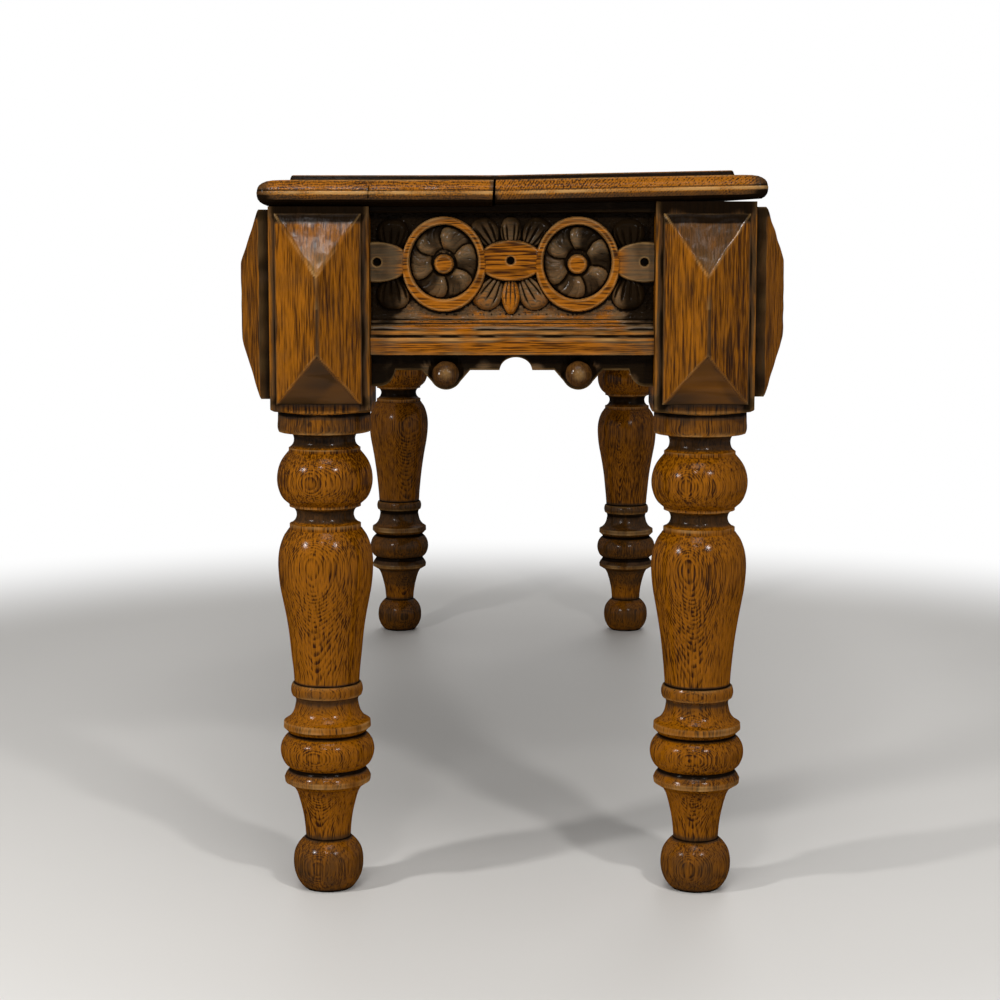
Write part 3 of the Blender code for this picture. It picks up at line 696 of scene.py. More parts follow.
@dataclass
class Leg(Piece):
    """A leg: a square block with a rounded-off shoulder over a turned shaft."""

    ending: ClassVar[str] = "turned"
    depth: str
    end: str
    pith: Pair
    seed: int
    columns: int = 112
    step: float = 0.0007
    stoutest: float = 0.0335
    arris: float = 0.0011
    shoulder: float = 0.0031
    # Heights on the common turning and where this leg has them, upwards, in millimetres
    heights: tuple[Pair, ...] = ((0, 0), (360, 360))
    # Painted shade and soil on a far leg: more on the vase and above, and on the lower part
    far_grime_and_shade: Pair = (0.0, 0.0)
    most_hollow_grime_and_shade: float = 0.72
    # By height: soil on the collar, painted shadow under the block, soil on the ring, flare and foot
    grime_and_shade_bands: tuple[Band, ...] = (
        Band(0.34, (0.3235, 0.3270)), Band(0.6, (0.3350, 0.3385)),
        Band(0.24, (0.1375, 0.1392), (0.1495, 0.1480)),
        Band(0.26, (0.0760, 0.0775), (0.0890, 0.0860)), Band(0.36, (0.060, 0.020)))

    @property
    def node(self) -> str:
        """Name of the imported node."""
        return f"leg_{self.depth}_{self.end}"

    @property
    def axis(self) -> Pair:
        """Where the leg's axis stands."""
        return (FRAME.leg_x * (1 if self.end == "right" else -1),
                FRAME.leg_y * (1 if self.depth == "rear" else -1))

    def profile(self) -> tuple[Array, Array]:
        """The turning as dense columns of radius and height.

        Each run is a cubic Hermite curve through its points, its slope at a point the weighted mean
        of the slopes on both sides, sampled about evenly by length.  The heights are then carried
        over to the leg's own, in straight lines between the given ones.

        Returns:
            Radii and heights from the block down.
        """
        parts = []
        for run in TURNING:
            knots = np.array(run) / MILLIMETRES
            reach = lengths(knots)
            slope = np.gradient(knots, reach, axis=0)
            at = np.linspace(0.0, reach[-1], max(3, int(reach[-1] / self.step)))
            i = np.clip(np.searchsorted(reach, at) - 1, 0, len(knots) - 2)
            span = (reach[i + 1] - reach[i])[:, None]
            t = (at - reach[i])[:, None] / span
            parts.append((2 * t**3 - 3 * t**2 + 1) * knots[i] + (t**3 - 2 * t**2 + t) * span * slope[i]
                         + (3 * t**2 - 2 * t**3) * knots[i + 1] + (t**3 - t**2) * span * slope[i + 1])
        height, radius = np.concatenate(parts).T
        common, own = np.array(self.heights, dtype=float).T / MILLIMETRES
        return radius[:, None], np.interp(height, common, own)[:, None]

    def wood(self, points: Array) -> Array:
        """Places in the wood, whose fibres run up the leg."""
        x, y = self.axis
        return in_wood(points[..., 2], points[..., 0] - x, points[..., 1] - y, self.pith, self.seed)

    def shaft(self) -> Skin:
        """The turned shaft: the profile carried round the axis, hollows darkened with soil and painted
        shade, arrises paled by rubbing.

        Hollow and arris are the profile's radius set against its own blurred copies.

        Returns:
            The closed skin.
        """
        radius, height = self.profile()
        fine, hollow, wide = ((blurred(radius, passes) - radius) * MILLIMETRES for passes in (8, 40, 260))
        turn = np.linspace(0.0, 2 * np.pi, self.columns, endpoint=False)[None, :]
        uneven = 1.0 + 0.003 * wobble(height * 8.0, turn * 0.0, 0.4, self.seed)
        uneven = uneven + 0.002 * np.sin(turn + self.seed)
        x, y = self.axis
        across = np.minimum(radius * uneven, self.stoutest)
        points = np.stack(np.broadcast_arrays(
            x + across * np.cos(turn), y + across * np.sin(turn), height), axis=-1)
        patchy = 0.75 + 0.5 * wobble(height, turn * 0.03, 0.03, self.seed + 1)
        # Hollows and tight quirks darker: soil and painted shade
        grime_and_shade = np.maximum(ease(0.1, 1.3, hollow), ease(0.8, 3.6, wide)) * (0.8 + 0.25 * patchy)
        grime_and_shade = np.minimum(grime_and_shade, self.most_hollow_grime_and_shade) + 0.5 * ease(0.15, 0.7, fine)
        # A far leg darker still on the vase and above and on the lower part: painted shade and soil
        above, below = self.far_grime_and_shade
        far_grime_and_shade = (above + (below - above) * ease(0.150, 0.135, height)) * ease(0.040, 0.060, height)
        grime_and_shade = grime_and_shade + sum(band.at(height) for band in self.grime_and_shade_bands) + far_grime_and_shade
        wear_and_sheen = (ease(0.10, 0.45, -fine) * 0.45 + ease(0.45, 1.8, -hollow) * 0.15) * patchy
        return Skin(points, self.wood(points), *np.broadcast_arrays(grime_and_shade, wear_and_sheen))

    def block(self) -> Skin:
        """The block: a rounded square carried up from the shoulder, which is part of a cone.

        The shoulder rises with the distance from the axis, so the corners end higher than the
        middles of the faces.

        Returns:
            The closed skin.
        """
        half, bottom, edge = FRAME.block_half, FRAME.block_bottom, FRAME.block_half - self.arris
        run, bend = np.linspace(-1.0, 1.0, 25)[:-1], np.linspace(0.0, np.pi / 2, 5)[:-1]
        side = np.column_stack([
            np.concatenate([np.full(run.size, half), edge + self.arris * np.cos(bend)]),
            np.concatenate([edge * run, edge + self.arris * np.sin(bend)])])
        quarter = np.array([[0, -1], [1, 0]])
        loop = np.concatenate([side @ np.linalg.matrix_power(quarter, k).T for k in range(4)])
        reach = np.hypot(*loop.T)
        low = bottom + self.shoulder * (reach - half) / (half * (math.sqrt(2) - 1))
        tall = (FRAME.rear_top if self.depth == "rear" else FRAME.top + FRAME.fit) - bottom
        levels = [0.0015, 0.0045, *np.linspace(0.008, tall - 0.004, 42), tall - 0.0015, tall]
        rows = [(loop / reach[:, None] * FRAME.boss_half, np.full(reach.size, bottom)),
                (loop * (1 - 0.0014 / half), low), (loop * (1 - 0.0003 / half), low + 0.0006)]
        rows += [(loop, np.maximum(low + 0.0012, bottom + level)) for level in levels]
        local = np.array([np.column_stack(row) for row in rows])
        points = local + np.array([*self.axis, 0.0])
        height = local[..., 2]
        out = np.broadcast_to(reach, height.shape)
        corner = ease(half * 1.33, half * 1.39, out)
        patchy = 0.8 + 0.5 * wobble(height, out, 0.05, self.seed + 2)
        beside_boss = np.abs(np.min(np.abs(local[..., :2]), axis=-1) - FRAME.boss_half)
        # Soil over all, painted shade beside the boss and a painted shadow under the seat
        grime_and_shade = 0.1 + 0.85 * ease(0.0055, 0.0010, beside_boss) * (1 - 0.4 * corner)
        grime_and_shade = grime_and_shade + 0.85 * ease(FRAME.top - 0.010, FRAME.top - 0.002, height)
        # Darker along the bottom, with a painted shadow line under the boss
        grime_and_shade = grime_and_shade + (0.3 + 0.6 * ease(0.3440, 0.3458, height)) * ease(0.352, 0.349, height)
        wear_and_sheen = corner * 0.15 + 0.35 * ease(bottom + 0.005, bottom + 0.001, height)
        return Skin(points, self.wood(points), grime_and_shade * patchy, wear_and_sheen * patchy)

    def skins(self) -> list[Skin]:
        """Shaft and block."""
        return [self.shaft(), self.block()]


@dataclass
class SeatBoard(Piece):
    """A seat board: thumb-moulded on both ends and its outer edge, square at the joint."""

    ending: ClassVar[str] = "moulded"
    name: str
    outward: int
    pith: Pair
    seed: int
    thickness: float = 0.0211
    lift: float = 0.0
    crack: float | None = None
    crack_depth: float = 0.0012
    crack_width: float = 0.0026
    top: float = 0.5011
    half_length: float = 0.5415
    half_depth: float = 0.17185
    joint: float = -0.012
    gap: float = 0.0012
    opening: float = 0.0007
    # Depths under the field over which the rear board's joint opens upwards, the front one's downwards
    slant: Pair = (0.0155, 0.0040)
    # Share of the gap by which each board's field draws near the other's
    closing: float = 0.46
    corner_radius: float = 0.007
    least_radius: float = 0.0004
    row_step: float = 0.0006
    # Depths under the field: of its lowest rows, and of the foot of the step round it
    field_foot: float = 0.0028
    step_foot: float = 0.0031
    field_share: float = 0.12
    # Inset of the edge and its depth under the field, from the underside up, in millimetres
    edge: tuple[Pair, ...] = (
        (12.0, 30.0), (8.4, 30.0), (7.3, 20.75), (4.7, 19.75), (2.4, 18.3), (0.9, 16.5), (0.3, 14.7),
        (0.1, 13.1), (0.0, 11.8), (0.25, 11.2), (0.45, 9.9), (0.95, 8.3), (2.1, 6.8), (4.0, 5.5),
        (6.7, 4.35), (10.7, 3.6), (16.0, 3.3), (19.0, 3.22), (21.0, 3.2), (21.3, 3.0), (21.6, 2.1),
        (21.9, 1.1), (22.4, 0.35), (23.2, 0.0))
    # By depth: painted shade on the underside and lower edge; rubbing and a painted highlight on the nose,
    # rubbing round the field
    grime_and_shade_bands: tuple[Band, ...] = (Band(1.0, (0.0160, 0.0175)), Band(0.46, (0.0128, 0.0140)))
    rubbed_and_sheen: tuple[Band, ...] = (
        Band(1.0, (0.0108, 0.0113), (0.0134, 0.0126)), Band(0.3, (0.0008, 0.0001)))

    @property
    def node(self) -> str:
        """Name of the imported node."""
        return self.name

    @property
    def depth(self) -> float:
        """Width of the board from the joint to its outer edge."""
        return self.half_depth + self.outward * -self.joint - self.gap / 2

    def rows(self) -> tuple[Array, Array]:
        """Close rows of the edge, from the underside up.

        Returns:
            Columns of their inset and of their depth under the field.
        """
        knots = np.minimum(np.array(self.edge) / MILLIMETRES, [1.0, self.thickness])
        reach = lengths(knots)
        at = np.union1d(reach, np.arange(0.0, reach[-1], self.row_step))
        at = at[np.diff(at, prepend=-1.0) > 1e-5][:, None]
        return np.interp(at, reach, knots[:, 0]), np.interp(at, reach, knots[:, 1])

    def end_shares(self) -> Array:
        """Places along the end, closer together beside a crack.

        Returns:
            Shares of the end from joint to corner.
        """
        shares = np.linspace(0.0, 1.0, 44)[:-1]
        if self.crack is not None:
            shares = np.concatenate([shares, self.crack + np.array([-0.008, -0.0035, 0.0, 0.003, 0.008])])
        return np.sort(shares)[None, :]

    def cracked(self, shares: Array, fall: Array) -> Array:
        """The crack in the near end.

        Args:
            shares: Shares of the end from joint to corner.
            fall: Depths under the field.

        Returns:
            Share of the crack's full depth at each place.
        """
        if self.crack is None:
            return 0.0 * shares * fall
        across = bell(shares, self.crack, self.crack_width)
        return across * ease(0.0165, 0.0150, fall) * ease(0.0060, 0.0090, fall)

    def skins(self) -> list[Skin]:
        """The board's one skin.

        The plan is a rectangle, rounded at its two outer corners, drawn in by the inset of each row
        of the edge.  A crack draws one point of the near end further in, and the joint opens a
        little towards both ends, at a slant.

        Returns:
            The closed skin.
        """
        inset, fall = self.rows()
        radius = np.maximum(self.corner_radius - inset, self.least_radius)
        x_mid, y_mid = self.half_length - inset - radius, self.depth - inset - radius
        x_end = self.half_length - inset
        shares = self.end_shares()
        turn = np.linspace(0.0, np.pi / 2, 8)[None, :]
        long = np.linspace(1.0, -1.0, 260)[None, 1:-1]
        beside = np.sin(np.linspace(-1.0, 1.0, 80) * np.pi / 2)[None, 1:-1]
        slant = self.slant if self.outward > 0 else self.slant[::-1]
        opening = self.opening * ease(*slant, fall)
        opening = np.where(fall > self.field_foot, opening, -self.closing * self.gap)
        closed = np.where(opening < 0.0, opening, opening * ease(0.91, 0.97, np.abs(beside)))
        crack = self.cracked(shares, fall)
        slim = 0.0004 * wobble(shares * 0.2 + 0.0 * inset, 0.0 * crack, 0.05, self.seed)
        near_x = x_end + np.minimum(slim, 0.0) * (inset < 0.02) - crack * self.crack_depth
        outline = (
            (near_x, opening + (y_mid - opening) * shares),
            (x_mid + radius * np.cos(turn), y_mid + radius * np.sin(turn)),
            (x_mid * long, (y_mid + radius) * np.ones_like(long)),
            (-x_mid - radius * np.sin(turn), y_mid + radius * np.cos(turn)),
            (-x_end * np.ones_like(shares), opening + (y_mid - opening) * shares[:, ::-1]),
            (x_end * beside, closed))
        x, y = (np.concatenate(part, axis=1) for part in zip(*outline))
        z = np.broadcast_to(self.thickness - fall, x.shape)
        moulded = fall > self.step_foot
        # Soil and painted shade round the foot of the field's step, and soil in the quirk of the nose
        dirt_and_shade = 0.95 * bell(inset, 0.0214, 0.0006) + 0.55 * bell(fall, 0.0103, 0.0005)
        # Painted shade on the underside and the lower edge; soil and painted shade on the wall of the step
        dirt_and_shade = dirt_and_shade + sum(band.at(fall) for band in self.grime_and_shade_bands)
        dirt_and_shade = dirt_and_shade + 0.55 * ease(0.0, 0.0006, fall) * (fall < self.step_foot)
        grime_and_shade = dirt_and_shade + 0.7 * ease(0.0008, 0.0, y)
        grime_and_shade = grime_and_shade + 0.6 * ease(self.depth - 0.016, self.depth - 0.003, y) * moulded
        grime_and_shade[:, :shares.size] += crack
        # A painted sheen along the top of the thumb, beside the rubbing bands
        rubbed_and_sheen = sum(band.at(fall) for band in self.rubbed_and_sheen) + 0.45 * ease(0.0046, 0.0038, fall) * moulded
        wear_and_sheen = rubbed_and_sheen * (0.7 + 0.5 * wobble(x, y, 0.09, self.seed + 3))
        # The last row bounds the field, which is one face and so takes one share of each
        grime_and_shade[-1], wear_and_sheen[-1] = self.field_share, self.field_share
        tilt = math.atan(self.lift / self.depth)
        out = y * math.cos(tilt) - z * math.sin(tilt)
        up = y * math.sin(tilt) + z * math.cos(tilt)
        edge_y = self.joint + self.outward * self.gap / 2
        points = np.stack([x, edge_y + self.outward * out, self.top - self.thickness + up], axis=-1)
        return [Skin(points, in_wood(x, y - self.depth / 2, z, self.pith, self.seed), grime_and_shade, wear_and_sheen)]


@dataclass
class CarvedRail(Piece):
    """A rail: a band of rings and ovals with whorls and leaves, over a shaped apron."""

    ending: ClassVar[str] = "carved"
    side: Side
    step: float
    pith: Pair
    seed: int
    carving_shift: float = 0.0
    notch_shift: float = 0.0
    relief: float = 0.007
    ring_half: Pair = (0.0288, 0.0322)
    ring_arris: float = 0.0010
    hole_half: Pair = (0.0232, 0.0250)
    hole_lift: float = 0.0014
    oval_lap: float = 0.0058
    oval_half_height: float = 0.0139
    oval_lift: Pair = (0.0024, 0.0014)
    oval_sunk: float = 0.0008
    oval_arris: float = 0.0012
    punch_radius: float = 0.0026
    punch_depth: float = 0.005
    petals: int = 6
    petal_height: float = 0.0058
    petal_lip: float = 0.64
    button_radius: float = 0.0067
    button_arris: float = 0.0016
    strip_top: float = -0.0312
    strip_bottom: float = -0.0412
    dot_spacing: float = 0.0046
    scores: tuple[Pair, ...] = ((-0.0376, 0.0004), (-0.0403, 0.0003))
    rim_height: float = 0.004
    foot_lap: float = 0.001
    lobe_radius: float = 0.0112
    lobe_spread: float = 0.0165
    notch_half: Pair = (0.011, 0.0088)
    ear_flat: float = 0.0045
    ear_radius: float = 0.0112
    apron_rows: tuple[float, ...] = (0.15, 0.3, 0.45, 0.58, 0.70, 0.80, 0.88, 0.94, 0.975, 0.992, 1.0)
    back_grime: float = 0.45
    back_chamfer: float = 0.0008
    # Leaves round an oval: centre, lean from upright, half width, half length, point, height, polish (low on
    # the upper leaves: painted shadow of the seat)
    leaves: tuple[tuple[float, ...], ...] = (
        (0.0152, -0.0215, 33.0, 0.0104, 0.0122, 0.0, 0.0052, 0.62),
        (0.0172, 0.0180, 33.0, 0.0096, 0.0114, 0.0, 0.0050, 0.38),
        (0.0000, 0.0182, 0.0, 0.0070, 0.0116, 0.0, 0.0052, 0.42),
        (0.0006, -0.0245, 0.0, 0.0062, 0.0120, 0.5, 0.0058, 1.0))
    # Leaves beside the end ovals, the same columns; the upper one's low polish is painted shadow of the seat
    end_leaves: tuple[tuple[float, ...], ...] = (
        (0.0106, -0.0210, 4.0, 0.0114, 0.0114, 0.0, 0.0052, 0.55),
        (0.0106, 0.0180, 4.0, 0.0110, 0.0110, 0.0, 0.0050, 0.30))
    leaf_power: float = 2.4
    leaf_lines: tuple[float, ...] = (-0.58, -0.12, 0.34, 0.74)
    pointed_lines: tuple[float, ...] = (-0.12, 0.42)

    @property
    def node(self) -> str:
        """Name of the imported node."""
        return f"rail_{self.side.name}"

    def whorl(self, x: Array, y: Array, number: Array) -> tuple[Array, Array]:
        """A rosette in a ring: petals that lap over one another round a button.

        Round the centre each petal's height rises to its lip and drops to the next one.  The line
        between two petals bows forward at mid radius and trails at the rim, and flutes follow it.

        Args:
            x: Distance from the ring's centre along the rail.
            y: Distance from it upwards.
            number: Which ring it is, which turns the whorl a little.

        Returns:
            Height over the ground, and how much of the polish the place keeps.
        """
        across, up = x / self.hole_half[0], y / self.hole_half[1]
        rho = np.hypot(across, up)
        q = np.clip((rho - 0.38) / 0.62, 0.0, 1.0)
        bow = np.radians(26.0 * q * (1 - q) - 5.0 * q * q)
        start = np.radians(-81.0 + 7.0 * np.sin(2.4 * number + self.seed))
        turn = (np.arctan2(up, across) - bow - start) * self.petals / (2 * np.pi)
        t = turn - np.floor(turn)
        lip = 1.0 - 0.72 * np.clip(1.0 - t / self.petal_lip, 0.0, 1.0) ** 2
        past = np.clip((t - self.petal_lip) / (1.0 - self.petal_lip), 0.0, 1.0)
        fall = 0.45 + 0.55 * np.sqrt(1.0 - past**2)
        flutes = np.exp(-(0.5 - 0.5 * np.cos(2 * np.pi * 4 * t)) / 0.10)
        flutes = flutes * ease(0.05, 0.2, t) * ease(0.95, 0.8, t) * ease(0.45, 0.8, rho)
        crown = ease(0.30, 0.44, rho) * (1.0 - 0.55 * ((rho - 0.66) / 0.34) ** 2)
        petal = self.petal_height * (lip * fall - 0.10 * flutes) * np.clip(crown, 0.0, 1.0)
        radius = np.hypot(x, y + self.hole_lift)
        button = self.petal_height * quarter_round(self.button_radius - radius, self.button_arris)
        shine = np.where(radius < self.button_radius, 0.9, 0.20 + 0.28 * ease(0.4, 0.9, t))
        return np.maximum(petal, button), shine

    def leaf(self, x: Array, y: Array, spec: tuple[float, ...]) -> tuple[Array, Array]:
        """A fluted leaf: a teardrop with a crowned face, rising to its tip and scored from the root.

        The scores are narrow bell-shaped grooves that fan out from the root and die out before the tip.

        Args:
            x: Distance from the oval's centre along the rail, taken on the leaf's side.
            y: Distance from it upwards.
            spec: Centre, lean, half width, half length, point, height and polish, low on the upper leaves
            as painted shadow of the seat.

        Returns:
            Height over the ground, and how much of the polish and of the light the place keeps.
        """
        cx, cy, lean, half_width, half_length, point, height, polish = spec
        cos, sin = math.cos(math.radians(lean)), math.sin(math.radians(lean))
        right, up = x - cx, (y - cy) * (1.0 if cy > 0 else -1.0)
        u, v = (right * cos - up * sin) / half_width, (right * sin + up * cos) / half_length
        slim = 1.0 - point * np.clip(v, 0.0, 1.0) - 0.25 * ease(0.0, -1.0, v)
        e = (np.abs(u / slim) ** self.leaf_power + np.abs(v) ** self.leaf_power) ** (1 / self.leaf_power)
        fan = u / (slim * (1.0 + 0.3 * v))
        score = sum(bell(fan, line, 0.065) for line in (self.pointed_lines if point else self.leaf_lines))
        score = score * ease(0.75, 0.0, v) * ease(1.0, 0.85, e)
        body = height * quarter_round(1.0 - e, 0.5) * (0.78 + 0.22 * ease(-0.7, 0.4, v)) - 0.0016 * score
        kept_polish_and_light = polish * (0.75 + 0.25 * ease(-0.5, 0.5, v)) - 0.5 * score
        return np.where(e < 1.0, body, 0.0), kept_polish_and_light

    def carving(self, s: Array, h: Array) -> tuple[Array, Array]:
        """The carved face: the highest of strap, whorls, leaves and border over a tooled ground.

        Args:
            s: Distance along the rail.
            h: Height over the middle of the band.

        Returns:
            Height over the ground, and how much of the polish and of the light each place keeps, with
            painted shade under the seat.
        """
        pitch = self.side.pitch
        number, x = self.side.nearest(s, self.carving_shift)
        oval_number, xo = self.side.nearest(s, self.carving_shift, between=True)
        at_end = (oval_number == 0) | (oval_number == self.side.rings)
        inward = np.where(oval_number == 0, xo, -xo)
        ho = h - np.where(at_end, self.oval_lift[1], self.oval_lift[0])
        outer = inside_oval(x, h, *self.ring_half)
        hole = inside_oval(x, h - self.hole_lift, *self.hole_half)
        strap = self.relief * quarter_round(np.minimum(outer, -hole), self.ring_arris)
        half_width = pitch / 2 - self.ring_half[0] + self.oval_lap
        oval = quarter_round(inside_oval(xo, ho, half_width, self.oval_half_height), self.oval_arris)
        oval = (self.relief - self.oval_sunk) * oval
        punch = ease(self.punch_radius + 0.0005, self.punch_radius - 0.0004, np.hypot(xo, ho))
        punch = punch * (oval > 0.004)
        whorl, shine = self.whorl(x, h - self.hole_lift, number)
        ground = 0.00022 * wobble(s, h, 0.0024, self.seed) + 0.00012 * wobble(s, h, 0.0011, self.seed + 1)
        strip = ease(self.strip_top, self.strip_top - 0.003, h)
        slope = 0.0018 * ease(self.strip_top, self.strip_bottom, h)
        spacing = self.dot_spacing
        spacing = spacing + 0.0004 * wobble(np.round(s / spacing), 0 * s, 3.0, self.seed + 2)
        dots = np.hypot(s - np.round(s / spacing) * spacing, h - self.strip_top + 0.0030)
        dots = ease(0.0010, 0.0005, dots) * (np.abs(s) < self.side.half_clear - pitch * 0.55)
        score = sum(bell(h, *line) for line in self.scores)
        rim = self.relief * quarter_round(h - (FRAME.top - FRAME.band - self.rim_height), 0.0008)
        height = ground * (1 - 0.4 * strip) + slope - 0.0005 * dots - 0.0008 * score
        # Lighter on the strip and most at its foot: painted light; less polish in the dots and scores
        kept_polish_and_light = 0.58 + 0.06 * strip + 0.20 * ease(-0.0365, -0.0380, h) - 0.15 * dots - 0.6 * score
        # Patchy, and darker towards the top of the band: painted shadow of the seat
        kept_polish_and_light = kept_polish_and_light + 0.12 * wobble(s * 0.3, h, 0.006, self.seed + 3) - 0.35 * ease(0.005, 0.020, h)
        clear_of_ring = outer < -0.0004
        over = [(self.leaf(np.abs(xo), ho, spec), ~at_end & clear_of_ring) for spec in self.leaves]
        over += [(self.leaf(inward, ho, spec), at_end & clear_of_ring) for spec in self.end_leaves]
        # The rim under the seat keeps neither polish nor light: painted shade
        over += [((whorl * ease(0.0, 0.0008, hole), shine), hole > 0),
                 ((oval - self.punch_depth * punch, 1 - punch), hole <= 0),
                 ((strap, 1.0), strap > 0), ((rim, 0.0), rim > 0)]
        for (form, shown), where in over:
            higher = where & (form > np.maximum(height, 0.0004))
            height, kept_polish_and_light = np.where(higher, form, height), np.where(higher, shown, kept_polish_and_light)
        return height, kept_polish_and_light

    def top(self, s: Array) -> Array:
        """Heights of the rail's upper edge, which on the ends follows the lifted rear board.

        Args:
            s: Distance along the rail.

        Returns:
            Heights.
        """
        if not self.side.is_end:
            return FRAME.top + 0 * s
        y = self.side.place(s, s, 0 * s)[..., 1]
        lifted = FRAME.rear_top + (y - FRAME.leg_y + FRAME.block_half) * FRAME.rear_slope
        return FRAME.top + (lifted - FRAME.top) * ease(-0.013, -0.011, y)

    def lower_edge(self, s: Array) -> Array:
        """Heights of the apron's lower edge: level, with a lobe under each ring and a notch between.

        A lobe is the lower half of a circle about the ball with straight sides, a notch is half an
        ellipse, and beside each block an ear ends in a quarter circle.

        Args:
            s: Distance along the rail.

        Returns:
            Heights.
        """
        x = np.abs(self.side.nearest(s)[1])
        circle = FRAME.ball_height - np.sqrt(np.maximum(self.lobe_radius**2 - x**2, 0.0))
        tangent = 0.866 * self.lobe_radius
        foot = FRAME.ball_height - 0.5 * self.lobe_radius
        flank = foot + (x - tangent) / (self.lobe_spread - tangent) * (FRAME.apron_edge - foot)
        lobe = np.where(x < tangent, circle, np.minimum(flank, FRAME.apron_edge))
        between = self.side.nearest(s, between=True)[1] - self.notch_shift
        inner = np.abs(s) < self.side.half_clear - self.side.pitch / 2
        arch = np.sqrt(np.maximum(1.0 - (between / self.notch_half[0]) ** 2, 0.0)) * self.notch_half[1]
        ear = np.maximum(self.side.half_clear - np.abs(s) - self.ear_flat, 0.0)
        ear = FRAME.apron_edge - np.sqrt(np.maximum(self.ear_radius**2 - ear**2, 0.0))
        return np.minimum(lobe + np.where(inner, arch, 0.0), np.where(inner, 1.0, ear))

    def skins(self) -> list[Skin]:
        """The rail's one skin: at each place along it a closed section, ends capped.

        The section runs down the carved face, down the apron to the lower edge, and up the back.

        Returns:
            The closed skin.
        """
        clear = self.side.half_clear
        s = np.linspace(-clear, clear, int(2 * clear / self.step))[:, None]
        from_block = clear - np.abs(s)
        rows = int((FRAME.top - FRAME.moulding_top + self.foot_lap) / self.step)
        top, edge = self.top(s), self.lower_edge(s)
        upper = top + (FRAME.moulding_top - self.foot_lap - top) * np.linspace(0.0, 1.0, rows)[None, :]
        over_band = upper - FRAME.band
        height, kept_polish_and_light = self.carving(s + 0 * upper, over_band)
        finer = (0.0005 / self.step) ** 2
        hollow = (blurred(height, int(8 * finer) + 2) - height) * MILLIMETRES
        wide = (blurred(height, int(60 * finer) + 4) - height) * MILLIMETRES
        # Painted shadow under the seat, painted shade beside the blocks and higher up, soil and painted shade
        # in hollows
        under = ease(0.031, 0.0365, over_band)
        beside = 0.68 * ease(0.030, 0.010, from_block) + 0.28 * ease(0.014, 0.031, over_band)
        grime_and_shade = 1.0 - kept_polish_and_light + 0.55 * ease(0.1, 0.9, hollow) + 0.25 * ease(0.3, 2.2, wide) + under + beside
        wear_and_sheen = 0.35 * ease(0.25, 0.95, -hollow) * ease(0.0030, 0.0055, height)
        wear_and_sheen = wear_and_sheen * (1 - under) * np.clip(kept_polish_and_light, 0.2, 1.0)
        share = np.array(self.apron_rows)[None, :]
        lower = upper[:, -1:] + (edge - upper[:, -1:]) * share
        ball = np.hypot(self.side.nearest(s)[1], lower - FRAME.ball_height)
        socket = ease(0.0128, 0.0098, ball)
        inward = 0.0016 * socket + 0.0012 * ease(0.0014, 0.0, lower - edge)
        sunk = height[:, -1:] * (1 - share) - inward
        # The apron painted dark with soil and shade, darkest under the moulding, round each ball and beside
        # the blocks
        apron_grime_and_shade = 0.76 + 0.2 * ease(0.055, 0.030, from_block) + 0.6 * socket
        apron_grime_and_shade = apron_grime_and_shade + 0.75 * ease(0.372, 0.380, lower) + 0.2 * wobble(s, lower, 0.02, self.seed)
        apron_wear = 0.35 * ease(0.0016, 0.0004, lower - edge)
        foot = edge + self.back_chamfer
        back = foot + (top - foot) * np.linspace(0.0, 1.0, 5)[None, :]
        none = 0 * back
        levels = np.concatenate([upper, lower, back], axis=1)
        depth = np.concatenate([FRAME.ground + height, FRAME.ground + sunk, FRAME.rail_back + none], axis=1)
        along = s + 0 * levels
        return [Skin(self.side.place(along, levels, depth),
                     in_wood(along, depth, levels - FRAME.band, self.pith, self.seed),
                     np.concatenate([grime_and_shade, apron_grime_and_shade, none + self.back_grime], axis=1),
                     np.concatenate([wear_and_sheen, apron_wear, none], axis=1))]


